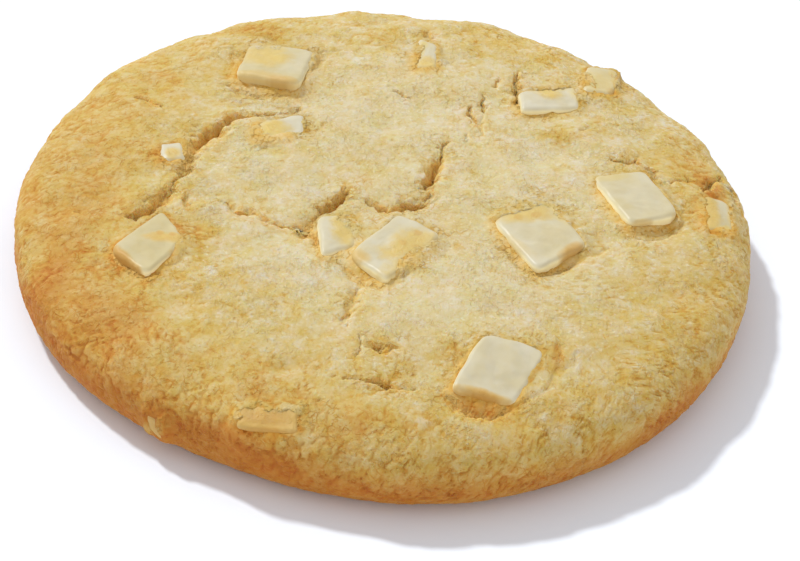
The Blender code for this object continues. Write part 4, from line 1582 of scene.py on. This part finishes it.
@dataclass
class BakedDough:
    """The dough: one closed skin from the top's middle over the rim and the foot to the base.

    A gather is the strength and the reach of the pull on the grid. A band is where a share grows from
    none to all. base_values are the named values of the base.
    """

    form: CookieForm
    relief: Relief
    crust: Crust
    places: list[ChunkPlace]
    cells: int = 300
    base_cells: int = 75
    base_rings: Band = (0.994, 0.985)
    base_hollow: float = 0.35
    base_noise: Noise = Noise(2.2, 73)
    base_band: Band = (0.1, 0.8)
    base_edge: Band = (-0.99, -0.9)
    crack_gather: Band = (0.55, 2.0)
    chunk_gather: Band = (0.45, 1.2)
    top_edge: float = 2.5
    calm_height: float = 1.2
    crumbled_share: float = 0.9
    crumbled_width: float = 2.6
    patch_share: float = 0.55
    patch_noise: Noise = Noise(6.0, 97)
    patch_band: Band = (-0.1, 0.7)
    rough_mean: float = 0.75
    rough_vary: float = 0.6
    rough_noise: Noise = Noise(2.6, 101)
    rim_share: float = 0.75
    rim_band: Band = (0.82, 1.0)
    rim_height: Band = (1.0, 4.0)
    split_depth: float = 1.8
    raised_gain: float = 1.2
    wall_size: float = 0.24
    wall_band: Band = (0.06, 0.5)
    wall_layers: tuple[tuple[float, Noise], ...] = ((1.0, Noise(0.95, 79)), (0.5, Noise(0.475, 83)))
    pocket_edge: float = 0.7
    pocket_wall: float = 0.3
    pocket_depth: float = 0.8
    creep: float = 0.3
    creep_width: float = 0.8
    creep_reach: float = 3.2
    creep_noise: Noise = Noise(1.6, 71)
    creep_mean: float = 0.25
    collar_width: float = 0.9
    collar_gap: float = 0.14
    collar_vary: float = 0.2
    over_band: Band = (0.3, 0.65)
    climb_band: Band = (-2.6, 0.0)
    film_band: Band = (-2.2, -0.2)
    film_thick: float = 0.1
    film_calm: float = 0.6
    film_bake: float = 0.3
    film_brown: float = 0.35
    film_least: float = 0.72
    fringe_bake: float = 0.3
    fringe_width: float = 0.5
    fringe_noise: Noise = Noise(1.1, 89)
    fringe_vary: float = 0.6
    joint_width: float = 2.0
    painted_warm_shade_band: Band = (-0.1, 0.5)
    base_values: tuple[tuple[str, float], ...] = (("bake", 0.86), ("raised", 0.5), ("open", 1.0))

    def grid(self) -> Skin:
        """The skin's points on the plain form, gathered at the cracks and at the chunks' edges.

        Returns:
            The points, with their normals, shares and places below the top.
        """
        reach, bearing, _ = disc_grid(self.cells)
        x, y, _ = self.form.skin(reach, bearing).points.T
        edges = [place.outline() for place in self.places]
        for routes, gather in ((CRACKS + CREVICES, self.crack_gather), (edges, self.chunk_gather)):
            shift_x, shift_y = Stretches.along(routes).pull(x, y, *gather)
            x, y = x + shift_x, y + shift_y
        return self.form.skin(*self.form.moved(reach, bearing, x, y))

    def crumbling(self, skin: Skin, on_top: Array, crumbled: Array) -> Array:
        """How rough the crumb is: beside the cracks and the chunks, in patches, and down the rim.

        Args:
            skin: the plain form.
            on_top: 1 on the top, fading to 0 at the side.
            crumbled: how crumbled the cracks make the dough.

        Returns:
            The roughness from 0 to 1, one per point.
        """
        for place in self.places:
            distance = place.outline_distance(place.to_local(skin.points))
            beside = self.crumbled_share * bell(np.maximum(distance, 0.0), self.crumbled_width)
            crumbled = np.maximum(crumbled, beside)
        patches = self.patch_share * ramp(self.patch_noise.at(skin.points), *self.patch_band)
        uneven = self.rough_mean + self.rough_vary * self.rough_noise.at(skin.points)
        rim = ramp(skin.share, *self.rim_band) * ramp(skin.points[:, 2], *self.rim_height)
        rough = np.maximum(np.maximum(crumbled, patches) * on_top, self.rim_share * rim)
        return np.clip(rough * uneven, 0.0, 1.0)

    def surface(self) -> tuple[Array, dict[str, Array]]:
        """The skin's points with all relief, and their named values.

        Formula: the plain form moved along its normal by unevenness, swellings, lips and crumb less
        the cracks; a noise in all directions roughens the cracks' walls; inside each chunk's outline
        the dough drops into the chunk's pocket or creeps over the chunk.

        Returns:
            The points, and a value per point for each name.
        """
        skin = self.grid()
        x, y, height = skin.points.T
        on_top = ramp(height, self.form.widest, self.form.widest + self.top_edge)
        depth, lip, crumbled, browned = self.relief.cracks(skin.points)
        rough = self.crumbling(skin, on_top, crumbled)
        crumb, crease = self.relief.crumb(skin.points, skin.share, rough)
        lift = on_top * (self.relief.unevenness(x, y) + self.relief.swellings(x, y) + lip - depth)
        values = {
            "bake": self.crust.bake(skin),
            # split: how browned the cracks are; the material also paints warm shade into them
            "split": np.clip(on_top * browned / self.split_depth, 0.0, 1.0),
            "crease": crease,
            "raised": np.clip(0.5 + self.raised_gain * crumb, 0.0, 1.0),
            "rough": rough,
            "open": np.ones(len(x)),
            "painted_warm_shade": np.zeros(len(x)),
        }
        points, smooth = self.join(skin.points + lift[:, None] * skin.normals, skin, values)
        calm = ramp(height, 0.0, self.calm_height) * (1.0 - self.film_calm * smooth)
        points += (calm * crumb)[:, None] * skin.normals
        wall = self.wall_size * ramp(on_top * depth, *self.wall_band)
        points += wall[:, None] * shifts(points, self.wall_layers)
        points[:, 2] = np.maximum(points[:, 2], 0.0)
        values["steep"] = 1.0 - np.einsum("ij,ij->i", self.facing(points), skin.normals)
        return points, values

    def join(self, points: Array, skin: Skin, values: dict[str, Array]) -> tuple[Array, Array]:
        """Joins the dough to each chunk in turn, and changes the named values beside and over it.

        Args:
            points: the dough's points.
            skin: the plain form under them.
            values: the named values; bake, open and shade are changed.

        Returns:
            The new points, and how far they lie as a film over a chunk, from 0 to 1.
        """
        smooth = np.zeros(len(points))
        for place in self.places:
            away = ramp(place.outline_distance(place.to_local(points)), 0.0, self.joint_width)
            # painted warm shade: the dough close in front of each chunk, where its shade falls, is tinted
            # warmer
            painted_warm_shade = (1.0 - away) * ramp(-place.behind(points), *self.painted_warm_shade_band)
            values["open"] = np.minimum(values["open"], away)
            values["painted_warm_shade"] = np.maximum(values["painted_warm_shade"], painted_warm_shade)
            points, film, brown, fringe = self.meet(points, skin, place)
            baked = np.maximum(self.film_bake + self.film_brown * brown, self.film_least * values["bake"])
            values["bake"] += film * (baked - values["bake"]) + self.fringe_bake * fringe
            smooth = np.maximum(smooth, film)
        return points, smooth

    def facing(self, points: Array) -> Array:
        """The directions that the skin's points face: the cross of the grid's two directions there."""
        grid = points.reshape(self.cells + 1, self.cells + 1, 3)
        facing = np.cross(np.gradient(grid, axis=1), np.gradient(grid, axis=0)).reshape(-1, 3)
        return facing / np.maximum(np.linalg.norm(facing, axis=1, keepdims=True), TINY)

    def meet(self, points: Array, skin: Skin, place: ChunkPlace) -> tuple[Array, Array, Array, Array]:
        """Lets the dough creep up a chunk's sides, over its patches of dough, and drop into its pocket.

        Args:
            points: the dough's points.
            skin: the plain form under them.
            place: the chunk's place.

        Returns:
            The points, how much film and browning the dough over the chunk has, and how far the dough
            beside the chunk is browned.
        """
        chunk = place.chunk
        local = place.to_local(points)
        distance = place.outline_distance(local)
        rows = np.flatnonzero((np.abs(local[:, 2]) < chunk.thick) & (distance < self.creep_reach))
        local, distance = local[rows], distance[rows]
        film, brown, fringe = np.zeros((3, len(points)))
        film[rows], brown[rows] = chunk.cover(local, DOUGH)
        over = ramp(film[rows], *self.over_band)
        bare = 1.0 - over
        wander = self.creep_noise.at(points[rows]) + self.creep_mean
        uneven = self.fringe_vary * (1.0 + self.fringe_noise.at(points[rows]))
        fringe[rows] = uneven * bell(distance, self.fringe_width) * bare
        top = chunk.top_height(local[:, 0], local[:, 1])
        top += chunk.worn(np.stack([local[:, 0], local[:, 1], top], axis=1))[:, 2]
        snug = place.snugness(points[rows]) * (1.0 - self.collar_vary * (1.0 - wander))
        collar = snug * bell(np.maximum(distance, 0.0), self.collar_width)
        creep = self.creep * wander * bell(distance, self.creep_width)
        creep += collar * np.maximum(top - self.collar_gap - local[:, 2], 0.0)
        climb = over * ramp(-distance, *self.climb_band) * (top + self.film_thick - local[:, 2])
        drop = bare * ramp(-distance, self.pocket_edge, self.pocket_edge + self.pocket_wall)
        rise = np.maximum(climb, 0.0) - self.pocket_depth * chunk.thick * drop
        moved = points.copy()
        moved[rows] += (creep * bare)[:, None] * skin.normals[rows] + rise[:, None] * place.turn[:, 2]
        film[rows] *= ramp(-distance, *self.film_band)
        return moved, film, brown, fringe

    def base(self) -> tuple[Array, Array]:
        """The flat underside, a little porous.

        Returns:
            Its points and its faces, which look down.
        """
        reach, bearing, faces = disc_grid(self.base_cells)
        radius = reach * self.base_rings[1] * (self.form.outline_radius(bearing) - self.form.base_inset)
        flat = np.stack([radius * np.cos(bearing), radius * np.sin(bearing), np.zeros_like(radius)], axis=1)
        hollow = ramp(self.base_noise.at(flat), *self.base_band) * ramp(-reach, *self.base_edge)
        flat[:, 2] = self.base_hollow * hollow
        return flat, faces[:, ::-1]

    def build(self, material: bpy.types.Material) -> bpy.types.Object:
        """Makes the piece: the skin, a ring that halves the count of corners, and a plain base.

        Args:
            material: the baked dough.

        Returns:
            The piece.
        """
        points, values = self.surface()
        ring = disc_edge(self.cells)
        kept = ring[0::2]
        middle = points[kept] * (self.base_rings[0], self.base_rings[0], 0.0)
        inner = np.arange(len(points), len(points) + len(kept))
        start = len(points) + len(kept)
        flat, base_faces = self.base()
        strips = [halving_strip(ring, inner), halving_strip(inner, start + disc_edge(self.base_cells))]
        faces = [disc_grid(self.cells)[2], *strips, start + base_faces]
        plain = dict(self.base_values)
        extra = len(middle) + len(flat)
        padded = {
            key: np.concatenate([value, np.full(extra, plain.get(key, 0.0))]) for key, value in values.items()
        }
        obj = new_piece("baked_dough", np.concatenate([points, middle, flat]), faces, padded)
        obj.data.materials.append(material)
        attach(obj, BODY)
        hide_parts("dough")
        return obj


@dataclass
class ChocolateChunk:
    """One chunk: a slab with soft edges, worn corners and patches of baked-on dough.

    A band is where a share grows from none to all. The film and the browning of the sides grow
    towards the dough.
    """

    place: ChunkPlace
    around: int = 160
    top_rings: int = 28
    edge_rings: int = 12
    side_rings: int = 14
    foot_rings: int = 7
    foot_share: float = 0.92
    round_share: float = 0.42
    crown: float = 0.08
    film_thick: float = 0.03
    low_vary: float = 0.35
    low_cell: float = 1.6
    low_seed: int = 3
    side_band: Band = (0.05, 0.6)
    film_least: float = 0.3
    film_baked: float = 0.6
    film_band: Band = (0.0, 1.1)
    brown_band: Band = (0.2, 1.4)
    open_band: Band = (-1.0, -0.7)
    open_depth: float = 0.3
    merged: float = 0.002

    def profile(self) -> tuple[Array, Array, Array]:
        """The slab's section from the top's middle to the foot's.

        Formula: a crowned top, a quarter circle, a side that leans in, a quarter circle and the foot.

        Returns:
            The share of the outline, the inset from it and the depth under the top's edge.
        """
        chunk = self.place.chunk
        curve = min(chunk.edge_round, self.round_share * min(chunk.length, chunk.width, chunk.thick))
        lean = (1.0 - self.foot_share) * min(chunk.length, chunk.width) / 2
        top = np.linspace(0.0, 1.0, self.top_rings)
        arc = np.linspace(0.0, math.pi / 2, self.edge_rings)[1:]
        side = np.linspace(0.0, 1.0, self.side_rings)[1:]
        foot = np.linspace(1.0, 0.0, self.foot_rings + 1)[1:]
        share = [top, np.ones(arc.size + side.size + arc.size), foot]
        inset = [
            np.full(top.size, curve),
            curve * (1.0 - np.sin(arc)),
            lean * side,
            lean + curve * (1.0 - np.cos(arc)),
            np.full(foot.size, lean + curve),
        ]
        depth = [
            self.crown * (top**2 - 1.0),
            curve * (1.0 - np.cos(arc)),
            curve + (chunk.thick - 2.0 * curve) * side,
            chunk.thick - curve + curve * np.sin(arc),
            np.full(foot.size, chunk.thick),
        ]
        return np.concatenate(share), np.concatenate(inset), np.concatenate(depth)

    def surface(self) -> tuple[Array, Array, Array]:
        """The slab's points in its own directions.

        Formula: a superellipse |a|^p + |b|^p = 1 by equal angles, laid on the inset half length and
        half width with skew and taper, at each ring of the profile; the tips tilt it.

        Returns:
            The points, their depth under the top's edge and their share of the outline.
        """
        chunk = self.place.chunk
        angle = np.linspace(0.0, 2.0 * math.pi, self.around, endpoint=False)
        cos, sin = np.cos(angle), np.sin(angle)
        reach = (np.abs(cos) ** CORNER_POWER + np.abs(sin) ** CORNER_POWER) ** (-1.0 / CORNER_POWER)
        a, b = reach * cos, reach * sin
        share, inset, depth = (values[:, None] for values in self.profile())
        x = share * (chunk.length / 2 - inset) * a + share * chunk.skew * b
        y = share * (chunk.width / 2 - inset) * b * (1.0 + chunk.taper * a * share)
        z = chunk.top_height(x, y) - depth
        local = np.stack([x, y, z], axis=-1).reshape(-1, 3)
        return local, np.repeat(depth, self.around), np.repeat(share, self.around)

    def faces(self, rings: int) -> Array:
        """Quads between the rings, turned outwards; the end rings are points drawn together."""
        index = np.arange(rings * self.around).reshape(rings, self.around)
        there = np.roll(index, -1, axis=1)
        return np.stack([index[:-1], index[1:], there[1:], there[:-1]], axis=-1).reshape(-1, 4)

    def masks(self, local: Array, depth: Array, share: Array) -> dict[str, Array]:
        """How much each place is side, film, browned, white and open to light.

        Args:
            local: the slab's points in its own directions.
            depth: their depth under the top's edge.
            share: their share of the outline.

        Returns:
            A value per point for each name.
        """
        chunk = self.place.chunk
        film, brown = chunk.cover(local)
        low = self.low_vary * Noise(self.low_cell, chunk.seed + self.low_seed).at(local) - local[:, 2]
        side = ramp(depth, *self.side_band)
        sides = (self.film_least + self.film_baked * chunk.baked) * side
        return {
            "side": side,
            "film": np.maximum(film, sides * ramp(low, *self.film_band)),
            "brown": np.maximum(brown, chunk.baked * side * ramp(low, *self.brown_band)),
            "white": np.full(len(local), chunk.white),
            "open": ramp(-share, *self.open_band) * (depth < self.open_depth),
        }

    def build(self, material: bpy.types.Material) -> bpy.types.Object:
        """Makes the piece and lets it stand for its solid.

        Args:
            material: the white chocolate.

        Returns:
            The piece.
        """
        chunk = self.place.chunk
        local, depth, share = self.surface()
        masks = self.masks(local, depth, share)
        local = local + chunk.worn(local)
        local[:, 2] += self.film_thick * masks["film"] * (1.0 - masks["side"])
        faces = self.faces(len(local) // self.around)
        points = self.place.to_cookie(local)
        obj = new_piece(chunk.name.replace("chunk", "chocolate"), points, [faces], masks)
        obj.data.materials.append(material)
        self.close_ends(obj)
        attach(obj, BODY)
        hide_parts(chunk.name)
        return obj

    def close_ends(self, obj: bpy.types.Object) -> None:
        """Merges the points that the end rings draw together.

        Args:
            obj: the piece.
        """
        bm = bmesh.new()
        bm.from_mesh(obj.data)
        bmesh.ops.remove_doubles(bm, verts=bm.verts, dist=self.merged * MM)
        bm.to_mesh(obj.data)
        bm.free()
        obj.data.shade_smooth()


# ---------------------------------------------------------------- the studio


@dataclass(frozen=True)
class Sun:
    """A light from far off, as wide as a softbox looks from the cookie.

    height is over the floor, bearing is the side that it comes from, and width is what it fills of
    the sky, all as angles.
    """

    name: str
    strength: float
    colour: Colour
    height: float
    bearing: float
    width: float

    def build(self) -> None:
        """Makes the light."""
        light = bpy.data.lights.new(self.name, "SUN")
        light.energy = self.strength
        light.color = self.colour
        light.angle = math.radians(self.width)
        obj = bpy.data.objects.new(self.name, light)
        obj.rotation_euler = (math.radians(90.0 - self.height), 0.0, math.radians(self.bearing + 90.0))
        bpy.context.scene.collection.objects.link(obj)


@dataclass(frozen=True)
class Studio:
    """A white floor, a key light from behind on the left, soft light from the front, and the camera."""

    suns: tuple[Sun, ...] = (
        Sun("key", 2.1, (0.94, 0.985, 1.0), 49.7, 136.9, 5.0),
        Sun("front", 0.355, (1.0, 0.94, 0.83), 18.0, -80.0, 50.0),
    )
    sky: Colour = (0.7, 0.695, 0.7)
    floor_size: float = 4000.0
    floor_drop: float = 0.03
    floor_colour: Colour = (0.87, 0.905, 0.975)
    floor_roughness: float = 0.9
    floor_shine: float = 0.1
    camera_height: float = 38.5
    camera_roll: float = 5.4
    camera_distance: float = 380.0
    camera_near: float = 0.01
    target: tuple[float, float, float] = (2.23, -9.48, 6.0)
    lens: float = 145.86

    def build(self) -> None:
        """Makes the floor, the lights and the camera."""
        self.floor()
        for sun in self.suns:
            sun.build()
        self.fill()
        self.camera()
        bpy.context.scene.view_settings.view_transform = "Standard"

    def floor(self) -> None:
        """The floor, just under the cookie."""
        half = self.floor_size / 2
        corners = np.array([(-half, -half), (half, -half), (half, half), (-half, half)])
        points = np.pad(corners, ((0, 0), (0, 1)), constant_values=-self.floor_drop)
        obj = new_piece("floor", points, [np.array([[0, 1, 2, 3]])], {})
        material = bpy.data.materials.new("floor_white")
        material.use_nodes = True
        shader = material.node_tree.nodes["Principled BSDF"].inputs
        shader["Base Color"].default_value = (*self.floor_colour, 1.0)
        shader["Roughness"].default_value = self.floor_roughness
        shader["Specular IOR Level"].default_value = self.floor_shine
        obj.data.materials.append(material)

    def fill(self) -> None:
        """An even white sky."""
        world = bpy.data.worlds.new("studio")
        world.use_nodes = True
        world.node_tree.nodes["Background"].inputs["Color"].default_value = (*self.sky, 1.0)
        bpy.context.scene.world = world

    def camera(self) -> None:
        """The camera, at the photograph's height, distance and tilt."""
        lift, roll = math.radians(self.camera_height), math.radians(self.camera_roll)
        back = Vector((0.0, -math.cos(lift), math.sin(lift)))
        level, rise = Vector((1.0, 0.0, 0.0)), Vector((0.0, math.sin(lift), math.cos(lift)))
        right = level * math.cos(roll) + rise * math.sin(roll)
        up = rise * math.cos(roll) - level * math.sin(roll)
        lens = bpy.data.cameras.new("camera")
        lens.lens = self.lens
        lens.clip_start = self.camera_near
        obj = bpy.data.objects.new("camera", lens)
        turn = Matrix((right, up, back)).transposed().to_4x4()
        turn.translation = (Vector(self.target) + self.camera_distance * back) * MM
        obj.matrix_world = turn
        bpy.context.scene.collection.objects.link(obj)
        bpy.context.scene.camera = obj


def main() -> None:
    """Builds the studio and the cookie, and reports each piece."""
    logging.basicConfig(level=logging.INFO, format="%(name)s: %(message)s")
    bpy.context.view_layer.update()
    Studio().build()
    form = CookieForm()
    places = [ChunkPlace.on(form, chunk) for chunk in CHUNKS]
    group = Crumb().group()
    dough_finish = BakedDoughFinish().material(group)
    chocolate_finish = WhiteChocolateFinish().material(group)
    pieces = [BakedDough(form, Relief(), Crust(), places).build(dough_finish)]
    pieces += [ChocolateChunk(place).build(chocolate_finish) for place in places]
    for piece in pieces:
        LOG.info("%s: %d faces", piece.name, len(piece.data.polygons))


if __name__ == "__main__":
    main()
